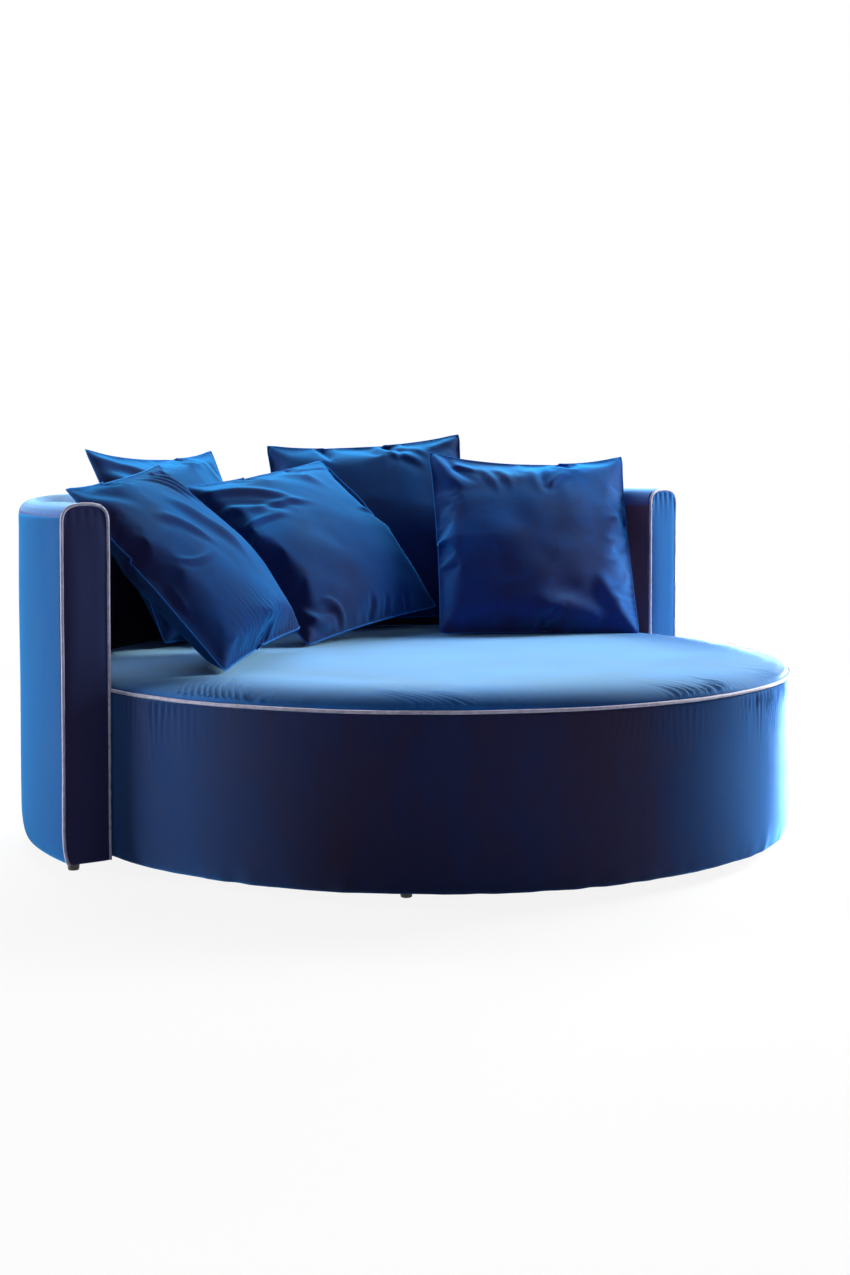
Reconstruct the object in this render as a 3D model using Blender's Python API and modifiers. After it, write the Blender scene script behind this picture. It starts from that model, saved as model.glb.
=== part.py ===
"""Round two-seater sofa: an upholstered drum, a padded back that wraps half of it, and five loose cushions.

Metres, +Z up, the front faces -Y. The origin is on the floor, under the middle of the whole sofa.
"""

import math

import bmesh
import bpy
from mathutils import Matrix, Vector
from mathutils.bvhtree import BVHTree

# Fineness of the round forms
TURN_STEPS = 72
GLIDE_STEPS = 12
PIPING_SIDES = 8
ARCH_STEPS = 10
HIDDEN_ARCH_STEPS = 5
HEM_STEPS = 3
HIDDEN_HEM_STEPS = 1
CUSHION_CELLS = 8

# Clearance between two pieces that touch, and the overrun of a cutter past what it cuts
GAP = 0.0003
OVERRUN = 0.01

# Sheet and board thicknesses
COVER = 0.002
DUST_CLOTH = 0.001
BOARD = 0.015
END_BOARD = 0.018
SKIN = 0.005
PLATE = 0.002
PIPING_DIAMETER = 0.008

# Drum and seat
SEAT_RADIUS = 0.860
RIM_HEIGHT = 0.397
SEAT_CROWN = 0.030
CROWN_POWER = 6.0
CROWN_ROUND = 0.7
CROWN_STATION_SHARES = (0.0, 0.55, 0.80, 0.90, 0.965, 1.0)
HIDDEN_STATION_SHARES = (0.0, 0.55, 0.90, 1.0)
UNDERSIDE = 0.026
HEM_DRAW_IN = 0.013
HEM_CURVE_HEIGHT = 0.070
HEM_TURN_UNDER = 0.050
DRUM_FOAM = 0.014
DECK_HEIGHT = 0.300
DECK_RING_WIDTH = 0.220
POST_COUNT = 4
POST_WIDTH = 0.060
POST_DEPTH = 0.030
BEAM_WIDTH = 0.040
BEAM_DEPTH = 0.045
RIM_STAND_OUT = 0.0032

# Webbing under the seat foam
STRAP_WIDTH = 0.050
STRAP = 0.0015
STRAP_SPACING = 0.260
STRAP_LAP = 0.050
STRAPS_EACH_WAY = 3

# Back
BACK_THICKNESS = 0.1145
BACK_HEIGHT = 0.806
BACK_END_ANGLE = math.radians(85.0)
ARCH_RISE = 0.044
ARCH_POWER = 2.35
BACK_SEAM_DROP = 0.028
INNER_FOAM = 0.030
OUTER_FOAM = 0.018
ROLL_FOAM = 0.055
RAIL_HEIGHT = 0.025
BACK_POST_WIDTH = 0.045
BACK_POST_ANGLES = [math.radians(a) for a in (-42.0, 0.0, 42.0)]
END_PIPING_STAND_OUT = 0.0025

# Glides and joining plates, with angles from the middle of the back
GLIDE_DIAMETER = 0.030
GLIDE_FOOT_SHARE = 0.84
GLIDE_EDGE = 0.003
DRUM_GLIDE_INSET = 0.040
DRUM_GLIDE_ANGLES = [math.radians(a) for a in (45.0, 135.0, 225.0, 315.0)]
BACK_GLIDE_ANGLES = [math.radians(a) for a in (-81.0, -28.0, 28.0, 81.0)]
JOINING_PLATE_ANGLES = [math.radians(a) for a in (-55.0, 0.0, 55.0)]
JOINING_PLATE_LENGTH = 0.140
JOINING_PLATE_WIDTH = 0.050
PLATE_CORNER = 0.010
PLATE_CORNER_STEPS = 2
PLATE_HOLE_DIAMETER = 0.006
PLATE_HOLE_INSET = 0.018
PLATE_HOLE_SIDES = 8

# Loose cushions
CUSHION_SIDE = 0.540
CUSHION_THICKNESS = 0.130
CUSHION_SEAM = 0.008
CUSHION_CROWN_POWER = 0.55
CUSHION_DRAW_IN_SHARE = 0.055
CUSHION_CLOTH = 0.0015
PAD_CLEARANCE = 0.0006
ZIP_LENGTH_SHARE = 0.6
SETTLE_STEP = 0.004
SETTLE_HALVINGS = 14

# Each cushion: the way it faces from the middle of the back, its lean, its turn in its own plane, and the
# place of its middle to the right and to the rear, as shares of the seat's radius
CUSHION_PLACES_IN_SHARES = {
    "cushion_rear_left": (-20.0, 27.4, -0.9, -0.259, 0.822),
    "cushion_rear_centre": (37.6, 23.7, 3.7, 0.398, 0.751),
    "cushion_right": (31.4, 28.6, -1.7, 0.674, 0.279),
    "cushion_centre": (-5.5, 42.9, 9.1, 0.058, 0.606),
    "cushion_left": (-29.7, 41.7, 6.8, -0.619, 0.291),
}

# Sizes that follow from those above
RIM_PIPING_RADIUS = SEAT_RADIUS + RIM_STAND_OUT - PIPING_DIAMETER / 2
BACK_INNER_RADIUS = SEAT_RADIUS + RIM_STAND_OUT + GAP
BACK_OUTER_RADIUS = BACK_INNER_RADIUS + BACK_THICKNESS
DRUM_Y = (SEAT_RADIUS + RIM_STAND_OUT - BACK_OUTER_RADIUS) / 2
FRAME_BOTTOM = UNDERSIDE + COVER + GAP
SIDE_FOAM_OUTSIDE = SEAT_RADIUS - COVER - GAP
SKIN_OUTSIDE = SIDE_FOAM_OUTSIDE - DRUM_FOAM - GAP
DRUM_INSIDE = SKIN_OUTSIDE - SKIN - GAP
DECK_TOP = DECK_HEIGHT + BOARD
RIM_EDGE_HEIGHT = RIM_HEIGHT - PIPING_DIAMETER / 2 - GAP
SEAT_EDGE_RADIUS = RIM_PIPING_RADIUS - PIPING_DIAMETER / 2 - GAP
HOLE_RADIUS = DRUM_INSIDE - DECK_RING_WIDTH
BACK_SKIN_INSIDE = BACK_INNER_RADIUS + COVER + GAP + INNER_FOAM + GAP
BACK_CORE_INSIDE = BACK_SKIN_INSIDE + SKIN + GAP
BACK_SKIN_OUTSIDE = BACK_OUTER_RADIUS - COVER - GAP - OUTER_FOAM - GAP
BACK_CORE_OUTSIDE = BACK_SKIN_OUTSIDE - SKIN - GAP
BACK_CORE_MIDDLE = (BACK_CORE_INSIDE + BACK_CORE_OUTSIDE) / 2
BACK_FRAME_TOP = BACK_HEIGHT - COVER - GAP - ROLL_FOAM - GAP
ARCH_SPRING = BACK_HEIGHT - ARCH_RISE
PIPING_REACH = PIPING_DIAMETER - END_PIPING_STAND_OUT + GAP
DUST_CLOTH_BOTTOM = UNDERSIDE - GAP - DUST_CLOTH
HEM_INNER_RADIUS = SEAT_RADIUS - HEM_DRAW_IN - HEM_TURN_UNDER
DRUM_GLIDE_RADIUS = HEM_INNER_RADIUS - DRUM_GLIDE_INSET

MATERIALS = {
    "velvet": ((0.030, 0.110, 0.330), 0.75, 0.0),
    "piping": ((0.420, 0.410, 0.560), 0.60, 0.0),
    "foam": ((0.850, 0.780, 0.560), 0.95, 0.0),
    "filling": ((0.900, 0.890, 0.860), 0.95, 0.0),
    "plywood": ((0.620, 0.450, 0.270), 0.60, 0.0),
    "webbing": ((0.240, 0.170, 0.110), 0.85, 0.0),
    "dust_cloth": ((0.020, 0.020, 0.022), 0.90, 0.0),
    "glide_plastic": ((0.015, 0.015, 0.016), 0.45, 0.0),
    "plate_steel": ((0.550, 0.550, 0.560), 0.35, 1.0),
}


def clear_scene():
    for obj in list(bpy.data.objects):
        bpy.data.objects.remove(obj, do_unlink=True)


def new_collection(name):
    collection = bpy.data.collections.new(name)
    bpy.context.scene.collection.children.link(collection)
    return collection


def material_called(name):
    found = bpy.data.materials.get(name)
    if found:
        return found
    colour, roughness, metallic = MATERIALS[name]
    made = bpy.data.materials.new(name)
    made.use_nodes = True
    shader = made.node_tree.nodes["Principled BSDF"]
    shader.inputs["Base Color"].default_value = (*colour, 1.0)
    shader.inputs["Roughness"].default_value = roughness
    shader.inputs["Metallic"].default_value = metallic
    return made


def add_part(name, data, material, matrix=None):
    """Link a named sub-part with its material, placed by a matrix."""
    obj = bpy.data.objects.new(name, data)
    obj.data.materials.append(material_called(material))
    obj.matrix_world = matrix or drum_place()
    SOFA.objects.link(obj)
    return obj


def drum_place(height=0.0):
    """The drum's own axis, at a height."""
    return Matrix.Translation((0, DRUM_Y, height))


def polar_place(angle, radius, height):
    """A frame at an angle from the middle of the back: X along the ring, Y outwards, Z up."""
    return drum_place(height) @ Matrix.Rotation(-angle, 4, "Z") @ Matrix.Translation((0, radius, 0))


def add_turned(name, profile, material, closed=True, matrix=None, steps=TURN_STEPS):
    """Turn a profile of (radius, height) points, which runs down its outer side, about the Z axis."""
    count = len(profile)
    edges = [(i, i + 1) for i in range(count - 1)]
    if closed:
        edges.append((count - 1, 0))
    mesh = bpy.data.meshes.new(name)
    mesh.from_pydata([(radius, 0, height) for radius, height in profile], edges, [])
    obj = add_part(name, mesh, material, matrix)
    turn = obj.modifiers.new("Turn", "SCREW")
    turn.axis = "Z"
    turn.angle = math.tau
    turn.steps = turn.render_steps = steps
    turn.use_merge_vertices = True
    turn.merge_threshold = GAP / 30
    turn.use_smooth_shade = True
    return obj


def add_shell(obj, thickness):
    """Give an open surface its cloth's thickness, on the inner side."""
    shell = obj.modifiers.new("Cloth", "SOLIDIFY")
    shell.thickness = thickness
    shell.offset = -1
    shell.use_even_offset = True
    return obj


def add_cut(obj, cutter):
    cut = obj.modifiers.new("Cut", "BOOLEAN")
    cut.operation = "DIFFERENCE"
    cut.solver = "EXACT"
    cut.object = cutter
    return obj


def add_box(name, size, material, matrix):
    mesh = bpy.data.meshes.new(name)
    form = bmesh.new()
    bmesh.ops.create_cube(form, size=1.0, matrix=Matrix.Diagonal((*size, 1.0)))
    form.to_mesh(mesh)
    form.free()
    return add_part(name, mesh, material, matrix)


def facet_inside(radius):
    """How near the axis the middle of a facet comes on a turned face of this radius."""
    return radius * math.cos(math.pi / TURN_STEPS)


def ring_profile(inside, outside, bottom, top):
    return [(outside, top), (outside, bottom), (inside, bottom), (inside, top)]


def disc_profile(radius, bottom, top):
    return [(0, top), (radius, top), (radius, bottom), (0, bottom)]


def flat_curve(name, outline, thickness):
    """A flat outline in the XY plane, thickened evenly to both sides."""
    curve = bpy.data.curves.new(name, "CURVE")
    curve.dimensions = "2D"
    curve.fill_mode = "BOTH"
    curve.extrude = thickness / 2
    spline = curve.splines.new("POLY")
    spline.points.add(len(outline) - 1)
    for point, (x, y) in zip(spline.points, outline):
        point.co = (x, y, 0, 1)
    spline.use_cyclic_u = True
    return curve


def mesh_from_curve(name, curve):
    """The closed mesh of a curve, with its caps welded on."""
    holder = bpy.data.objects.new(name, curve)
    mesh = bpy.data.meshes.new_from_object(holder)
    bpy.data.objects.remove(holder)
    form = bmesh.new()
    form.from_mesh(mesh)
    bmesh.ops.remove_doubles(form, verts=form.verts, dist=GAP / 30)
    bmesh.ops.recalc_face_normals(form, faces=form.faces)
    form.to_mesh(mesh)
    form.free()
    return mesh


def add_cutter(name, mesh, matrix):
    cutter = bpy.data.objects.new(name, mesh)
    cutter.matrix_world = matrix
    cutter.hide_render = True
    cutter.display_type = "WIRE"
    CUTTERS.objects.link(cutter)
    return cutter


def front_opening_cutter(name, setback):
    """The wedge in front of both ends of the back, moved a setback behind the end planes."""
    reach = 2 * BACK_OUTER_RADIUS
    sine, cosine = math.sin(BACK_END_ANGLE), math.cos(BACK_END_ANGLE)
    right = (reach * sine - setback * cosine, reach * cosine + setback * sine)
    left = (-right[0], right[1])
    outline = [(0, setback / sine), left, (-reach, -reach), (reach, -reach), right]
    tall = BACK_HEIGHT + 2 * OVERRUN
    mesh = mesh_from_curve(name, flat_curve(name, outline, tall))
    return add_cutter(name, mesh, drum_place(BACK_HEIGHT / 2))


def crown_height(radius):
    """Height of the seat's upper surface at a radius: steep at the rim, almost flat in the middle."""
    share = min(radius / SEAT_EDGE_RADIUS, 1.0)
    return RIM_HEIGHT + SEAT_CROWN * (1 - share**CROWN_POWER) ** CROWN_ROUND


def crown_profile(edge_radius, drop, stations):
    """Points of the seat's crown from the middle to the rim, lowered by a drop."""
    points = []
    for share in stations:
        radius = share * edge_radius
        points.append((radius, crown_height(share * SEAT_EDGE_RADIUS) - drop))
    return points


def hem_curve(radius, bottom, steps=HEM_STEPS):
    """The side's lower end, which draws in under the body, from its top to its lowest point."""
    points = []
    for step in range(steps + 1):
        angle = math.pi / 2 * step / steps
        points.append(
            (radius - HEM_DRAW_IN * (1 - math.cos(angle)), bottom + HEM_CURVE_HEIGHT * (1 - math.sin(angle)))
        )
    return points


def arch_point(turn, inside, outside, top):
    """A point of the back's rounded top: turn runs from 0 at its inner side to pi at its outer side."""
    half = (outside - inside) / 2
    across = math.copysign(abs(math.cos(turn)) ** (2 / ARCH_POWER), math.cos(turn))
    up = abs(math.sin(turn)) ** (2 / ARCH_POWER)
    return (inside + half - half * across, ARCH_SPRING + (top - ARCH_SPRING) * up)


def arch_points(inside, outside, top, steps=ARCH_STEPS):
    return [arch_point(math.pi * step / steps, inside, outside, top) for step in range(steps + 1)]


def inset_path(path, inset):
    """A path moved to its right by an inset, with mitred corners and square ends."""
    points = [Vector(point) for point in path]
    rights = []
    for start, end in zip(points, points[1:]):
        along = (end - start).normalized()
        rights.append(Vector((along.y, -along.x)))
    moved = [points[0] + rights[0] * inset]
    for point, before, after in zip(points[1:], rights, rights[1:]):
        mitre = (before + after).normalized()
        moved.append(point + mitre * inset / mitre.dot(after))
    moved.append(points[-1] + rights[-1] * inset)
    return [tuple(point) for point in moved]


def run_on_to(start, end, height):
    """Where the line through two points reaches a height."""
    slope = (end[0] - start[0]) / (end[1] - start[1])
    return (end[0] + slope * (height - end[1]), height)


def split_at_height(path, height):
    """A path in two parts, which end a clearance apart where it comes down through a height."""
    crossing = max(i for i in range(len(path) - 1) if path[i][1] > height >= path[i + 1][1])
    above, below = Vector(path[crossing]), Vector(path[crossing + 1])
    middle = above + (below - above) * (above.y - height) / (above.y - below.y)
    half_gap = (below - above).normalized() * GAP / 2
    return path[: crossing + 1] + [tuple(middle - half_gap)], [tuple(middle + half_gap)] + path[crossing + 1 :]


def base_panels():
    add_turned(
        "base_bottom_plate", disc_profile(DRUM_INSIDE, FRAME_BOTTOM, FRAME_BOTTOM + BOARD), "plywood", closed=False
    )
    add_turned(
        "base_deck_ring", ring_profile(HOLE_RADIUS, DRUM_INSIDE, DECK_HEIGHT, DECK_TOP), "plywood"
    )
    add_turned(
        "base_skin", ring_profile(SKIN_OUTSIDE - SKIN, SKIN_OUTSIDE, FRAME_BOTTOM, DECK_TOP), "plywood"
    )


def base_posts():
    """Posts between the bottom plate and the deck ring, close behind the skin."""
    bottom = FRAME_BOTTOM + BOARD + GAP
    height = DECK_HEIGHT - GAP - bottom
    side_sag = POST_WIDTH**2 / (8 * DRUM_INSIDE)
    radius = facet_inside(DRUM_INSIDE) - side_sag - POST_DEPTH / 2 - GAP
    for number in range(POST_COUNT):
        angle = math.tau * (number + 1 / 2) / POST_COUNT
        place = polar_place(angle, radius, bottom + height / 2)
        add_box(f"base_post_{number + 1}", (POST_WIDTH, POST_DEPTH, height), "plywood", place)


def base_centre_beam():
    """A beam from front to rear under the deck ring, which carries the middle of the webbing."""
    half_length = facet_inside(math.sqrt(DRUM_INSIDE**2 - (BEAM_WIDTH / 2) ** 2)) - GAP
    place = drum_place(DECK_HEIGHT - GAP - BEAM_DEPTH / 2)
    add_box("base_centre_beam", (BEAM_WIDTH, 2 * half_length, BEAM_DEPTH), "plywood", place)


def base_upholstery():
    inside = SKIN_OUTSIDE + GAP
    top = RIM_EDGE_HEIGHT - GAP
    foam = [(SIDE_FOAM_OUTSIDE, top)] + hem_curve(SIDE_FOAM_OUTSIDE, FRAME_BOTTOM, HIDDEN_HEM_STEPS)
    foam += [(inside, FRAME_BOTTOM), (inside, top)]
    add_turned("base_side_foam", foam, "foam")
    side = [(SEAT_RADIUS, RIM_EDGE_HEIGHT)] + hem_curve(SEAT_RADIUS, UNDERSIDE)
    side.append((HEM_INNER_RADIUS, UNDERSIDE))
    add_shell(add_turned("base_side_cover", side, "velvet", closed=False), COVER)
    dust_radius = HEM_INNER_RADIUS + HEM_TURN_UNDER / 2
    add_turned(
        "base_dust_cover",
        disc_profile(dust_radius, DUST_CLOTH_BOTTOM, UNDERSIDE - GAP),
        "dust_cloth",
        closed=False,
    )


def seat_webbing():
    """Two crossing layers of straps over the hole in the deck ring."""
    for layer, turn in ((0, 0.0), (1, math.pi / 2)):
        height = DECK_TOP + GAP + STRAP / 2 + layer * (STRAP + GAP)
        for number in range(STRAPS_EACH_WAY):
            offset = STRAP_SPACING * (number - (STRAPS_EACH_WAY - 1) / 2)
            half = math.sqrt(HOLE_RADIUS**2 - offset**2) + STRAP_LAP
            place = drum_place(height) @ Matrix.Rotation(turn, 4, "Z") @ Matrix.Translation((0, offset, 0))
            name = f"seat_strap_{layer * STRAPS_EACH_WAY + number + 1}"
            add_box(name, (2 * half, STRAP_WIDTH, STRAP), "webbing", place)


def seat_upholstery():
    foam_bottom = DECK_TOP + 2 * (STRAP + GAP) + GAP
    foam_radius = SKIN_OUTSIDE
    foam = crown_profile(foam_radius, COVER + GAP, HIDDEN_STATION_SHARES)
    foam += [(foam_radius, foam_bottom), (0, foam_bottom)]
    add_turned("seat_foam", foam, "foam", closed=False)
    cover = crown_profile(SEAT_EDGE_RADIUS, 0, CROWN_STATION_SHARES)
    add_shell(add_turned("seat_cover", cover, "velvet", closed=False), COVER)
    add_turned("seat_rim_piping", circle_points(RIM_PIPING_RADIUS, RIM_HEIGHT), "piping")


def circle_points(radius, height):
    """The piping's round section, run down its outer side."""
    points = []
    for side in range(PIPING_SIDES):
        angle = math.pi / 2 - math.tau * (side + 1 / 2) / PIPING_SIDES
        reach = PIPING_DIAMETER / 2
        points.append((radius + reach * math.cos(angle), height + reach * math.sin(angle)))
    return points


def back_frame(wrap_cutter, rail_cutter):
    height = BACK_FRAME_TOP - FRAME_BOTTOM
    for name, inside in (
        ("back_inner_skin", BACK_SKIN_INSIDE),
        ("back_outer_skin", BACK_SKIN_OUTSIDE - SKIN),
    ):
        skin = add_turned(name, ring_profile(inside, inside + SKIN, FRAME_BOTTOM, BACK_FRAME_TOP), "plywood")
        add_cut(skin, wrap_cutter)
    for name, bottom in (
        ("back_bottom_rail", FRAME_BOTTOM),
        ("back_top_rail", BACK_FRAME_TOP - RAIL_HEIGHT),
    ):
        profile = ring_profile(BACK_CORE_INSIDE, BACK_CORE_OUTSIDE, bottom, bottom + RAIL_HEIGHT)
        add_cut(add_turned(name, profile, "plywood"), rail_cutter)
    post_height = height - 2 * (RAIL_HEIGHT + GAP)
    side_sag = BACK_POST_WIDTH**2 / (8 * BACK_CORE_OUTSIDE)
    post_depth = facet_inside(BACK_CORE_OUTSIDE) - side_sag - BACK_CORE_INSIDE - GAP
    for number, angle in enumerate(BACK_POST_ANGLES, 1):
        place = polar_place(angle, BACK_CORE_INSIDE + post_depth / 2, FRAME_BOTTOM + height / 2)
        add_box(f"back_post_{number}", (BACK_POST_WIDTH, post_depth, post_height), "plywood", place)


def end_place(side, depth, height=0.0):
    """A frame standing in an end plane of the back, a depth behind it: X outwards, Y up."""
    sine, cosine = math.sin(BACK_END_ANGLE), math.cos(BACK_END_ANGLE)
    outward = Vector((side * sine, cosine, 0))
    forward = Vector((side * cosine, -sine, 0))
    up = Vector((0, 0, 1))
    across = outward.cross(up)
    place = Matrix((outward, up, across)).transposed().to_4x4()
    place.translation = Vector((0, DRUM_Y, height)) - forward * depth
    return place


def back_ends():
    """Each end: a board that closes the frame, its cover panel, and the piping sewn around the panel."""
    core_outside = facet_inside(BACK_CORE_OUTSIDE) - GAP
    core = [
        (BACK_CORE_INSIDE, FRAME_BOTTOM),
        (core_outside, FRAME_BOTTOM),
        (core_outside, BACK_FRAME_TOP),
        (BACK_CORE_INSIDE, BACK_FRAME_TOP),
    ]
    pipe_inside = BACK_INNER_RADIUS + PIPING_DIAMETER / 2
    pipe_outside = BACK_OUTER_RADIUS + END_PIPING_STAND_OUT - PIPING_DIAMETER / 2
    pipe_top = BACK_HEIGHT + END_PIPING_STAND_OUT - PIPING_DIAMETER / 2
    pipe_path = [(pipe_inside, UNDERSIDE)] + arch_points(pipe_inside, pipe_outside, pipe_top)
    pipe_path += hem_curve(pipe_outside, UNDERSIDE)
    panel = inset_path(pipe_path, PIPING_DIAMETER / 2 + GAP)
    panel[-1] = run_on_to(panel[-2], panel[-1], UNDERSIDE)
    for side, label in ((-1, "left"), (1, "right")):
        board = flat_curve(f"back_end_board_{label}", core, END_BOARD)
        add_part(board.name, board, "plywood", end_place(side, COVER + GAP + END_BOARD / 2))
        cover = flat_curve(f"back_end_cover_{label}", panel, COVER)
        add_part(cover.name, cover, "velvet", end_place(side, COVER / 2))
        piping = piping_curve(f"back_end_piping_{label}", pipe_path)
        depth = PIPING_DIAMETER / 2 - END_PIPING_STAND_OUT
        add_part(piping.name, piping, "piping", end_place(side, depth))


def piping_curve(name, path):
    curve = bpy.data.curves.new(name, "CURVE")
    curve.dimensions = "3D"
    curve.bevel_depth = PIPING_DIAMETER / 2
    curve.bevel_resolution = PIPING_SIDES // 4
    curve.use_fill_caps = True
    spline = curve.splines.new("POLY")
    spline.points.add(len(path) - 1)
    for point, (x, y) in zip(spline.points, path):
        point.co = (x, y, 0, 1)
    return curve


def back_foams(wrap_cutter):
    """A sheet of foam on each side of the frame, and a roll over the top of both."""
    inset = COVER + GAP
    inside, outside = BACK_INNER_RADIUS + inset, BACK_OUTER_RADIUS - inset
    inner = ring_profile(inside, BACK_SKIN_INSIDE - GAP, FRAME_BOTTOM, BACK_FRAME_TOP)
    outer = [(outside, BACK_FRAME_TOP)] + hem_curve(outside, FRAME_BOTTOM, HIDDEN_HEM_STEPS)
    outer += [(BACK_SKIN_OUTSIDE + GAP, FRAME_BOTTOM), (BACK_SKIN_OUTSIDE + GAP, BACK_FRAME_TOP)]
    roll = arch_points(inside, outside, BACK_HEIGHT - inset, HIDDEN_ARCH_STEPS)
    roll += [(outside, BACK_FRAME_TOP + GAP), (inside, BACK_FRAME_TOP + GAP)]
    for name, profile in (("back_inner_foam", inner), ("back_outer_foam", outer), ("back_roll_foam", roll)):
        add_cut(add_turned(name, profile, "foam"), wrap_cutter)


def back_upholstery(wrap_cutter):
    arch = arch_points(BACK_INNER_RADIUS, BACK_OUTER_RADIUS, BACK_HEIGHT)
    inner, outer = split_at_height(arch, BACK_HEIGHT - BACK_SEAM_DROP)
    inner.insert(0, (BACK_INNER_RADIUS, FRAME_BOTTOM))
    add_cut(add_shell(add_turned("back_inner_cover", inner, "velvet", closed=False), COVER), wrap_cutter)
    outer += hem_curve(BACK_OUTER_RADIUS, UNDERSIDE)
    outer.append((BACK_CORE_INSIDE, UNDERSIDE))
    add_cut(add_shell(add_turned("back_outer_cover", outer, "velvet", closed=False), COVER), wrap_cutter)


def add_glide(name, angle, radius, top):
    """A nail-on glide: a low cone with a softened foot."""
    wide, foot = GLIDE_DIAMETER / 2, GLIDE_DIAMETER / 2 * GLIDE_FOOT_SHARE
    profile = [(0, top), (wide, top), (foot, GLIDE_EDGE), (foot - GLIDE_EDGE, 0), (0, 0)]
    add_turned(name, profile, "glide_plastic", False, polar_place(angle, radius, 0), GLIDE_STEPS)


def glides():
    drum_top = DUST_CLOTH_BOTTOM - GAP
    add_glide("base_glide_centre", 0, 0, drum_top)
    for number, angle in enumerate(DRUM_GLIDE_ANGLES, 1):
        add_glide(f"base_glide_{number}", angle, DRUM_GLIDE_RADIUS, drum_top)
    for number, angle in enumerate(BACK_GLIDE_ANGLES, 1):
        add_glide(f"back_glide_{number}", angle, BACK_CORE_MIDDLE, UNDERSIDE - GAP)


def plate_hole_cutter():
    """Four screw holes in one cutter, made where the first joining plate's own frame has them."""
    name = "joining_plate_holes"
    form = bmesh.new()
    across = JOINING_PLATE_WIDTH / 2 - PLATE_HOLE_INSET
    along = JOINING_PLATE_LENGTH / 2 - PLATE_HOLE_INSET
    for x in (-across, across):
        for y in (-along, along):
            bmesh.ops.create_cone(
                form,
                cap_ends=True,
                segments=PLATE_HOLE_SIDES,
                radius1=PLATE_HOLE_DIAMETER / 2,
                radius2=PLATE_HOLE_DIAMETER / 2,
                depth=PLATE + 2 * OVERRUN,
                matrix=Matrix.Translation((x, y, 0)),
            )
    mesh = bpy.data.meshes.new(name)
    form.to_mesh(mesh)
    form.free()
    return mesh


def joining_plates():
    """Flat steel plates under the drum and the back, which hold the two together."""
    holes = plate_hole_cutter()
    height = DUST_CLOTH_BOTTOM - GAP - PLATE / 2
    radius = (SEAT_RADIUS - HEM_DRAW_IN + BACK_CORE_INSIDE) / 2
    for number, angle in enumerate(JOINING_PLATE_ANGLES, 1):
        place = polar_place(angle, radius, height)
        size = (JOINING_PLATE_WIDTH, JOINING_PLATE_LENGTH, PLATE)
        plate = add_box(f"joining_plate_{number}", size, "plate_steel", place)
        round_corners(plate.data)
        add_cut(plate, add_cutter(f"joining_plate_holes_{number}", holes, place))


def round_corners(mesh):
    """Round the upright corners of a flat plate."""
    form = bmesh.new()
    form.from_mesh(mesh)
    upright = [edge for edge in form.edges if abs(edge.verts[0].co.z - edge.verts[1].co.z) > PLATE / 2]
    bmesh.ops.bevel(
        form, geom=upright, offset=PLATE_CORNER, segments=PLATE_CORNER_STEPS, affect="EDGES", profile=1 / 2
    )
    form.to_mesh(mesh)
    form.free()


def cushion_surface(form, inset):
    """Both faces of a cushion and the narrow seam band between them, drawn inwards by an inset."""
    half = CUSHION_SIDE / 2 - inset
    seam = CUSHION_SEAM / 2 - inset
    swell = (CUSHION_THICKNESS - CUSHION_SEAM) / 2
    sides = []
    for facing in (-1, 1):
        made = bmesh.ops.create_grid(form, x_segments=CUSHION_CELLS, y_segments=CUSHION_CELLS, size=1.0)
        sides.append(made["verts"])
        for vert in made["verts"]:
            across = math.sin(vert.co.x * math.pi / 2)
            along = math.sin(vert.co.y * math.pi / 2)
            full = max(0.0, (1 - across**2) * (1 - along**2)) ** CUSHION_CROWN_POWER
            vert.co = (
                half * across * (1 - CUSHION_DRAW_IN_SHARE * (1 - along**2)),
                facing * (seam + swell * full),
                half * along * (1 - CUSHION_DRAW_IN_SHARE * (1 - across**2)),
            )
    edges = [edge for edge in form.edges if edge.is_boundary]
    bmesh.ops.bridge_loops(form, edges=edges)
    bmesh.ops.recalc_face_normals(form, faces=form.faces)


def zip_faces(form):
    """The faces of the seam band along the middle of the lower edge."""
    found = []
    reach = ZIP_LENGTH_SHARE * CUSHION_SIDE / 2
    for face in form.faces:
        middle = face.calc_center_median()
        if abs(middle.y) < CUSHION_SEAM / 8 and middle.z < 0 and abs(middle.x) < reach and -face.normal.z > 1 / 2:
            found.append(face)
    return found


def cushion_mesh(name, inset, with_zip):
    form = bmesh.new()
    cushion_surface(form, inset)
    if with_zip:
        bmesh.ops.delete(form, geom=zip_faces(form), context="FACES")
    mesh = bpy.data.meshes.new(name)
    form.to_mesh(mesh)
    form.free()
    mesh.shade_smooth()
    return mesh


def cushion_place(facing, lean, turn, right_share, rear_share, height):
    spin = Matrix.Rotation(-math.radians(facing), 4, "Z")
    tip = Matrix.Rotation(-math.radians(lean), 4, "X")
    roll = Matrix.Rotation(-math.radians(turn), 4, "Y")
    middle = Matrix.Translation((right_share * SEAT_RADIUS, rear_share * SEAT_RADIUS, height))
    return drum_place() @ middle @ spin @ tip @ roll


def world_shape(obj):
    """The evaluated points and triangles of an object, in world space."""
    evaluated = obj.evaluated_get(bpy.context.evaluated_depsgraph_get())
    mesh = evaluated.to_mesh()
    mesh.calc_loop_triangles()
    points = [obj.matrix_world @ vert.co for vert in mesh.vertices]
    triangles = [tuple(triangle.vertices) for triangle in mesh.loop_triangles]
    evaluated.to_mesh_clear()
    return points, triangles


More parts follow.
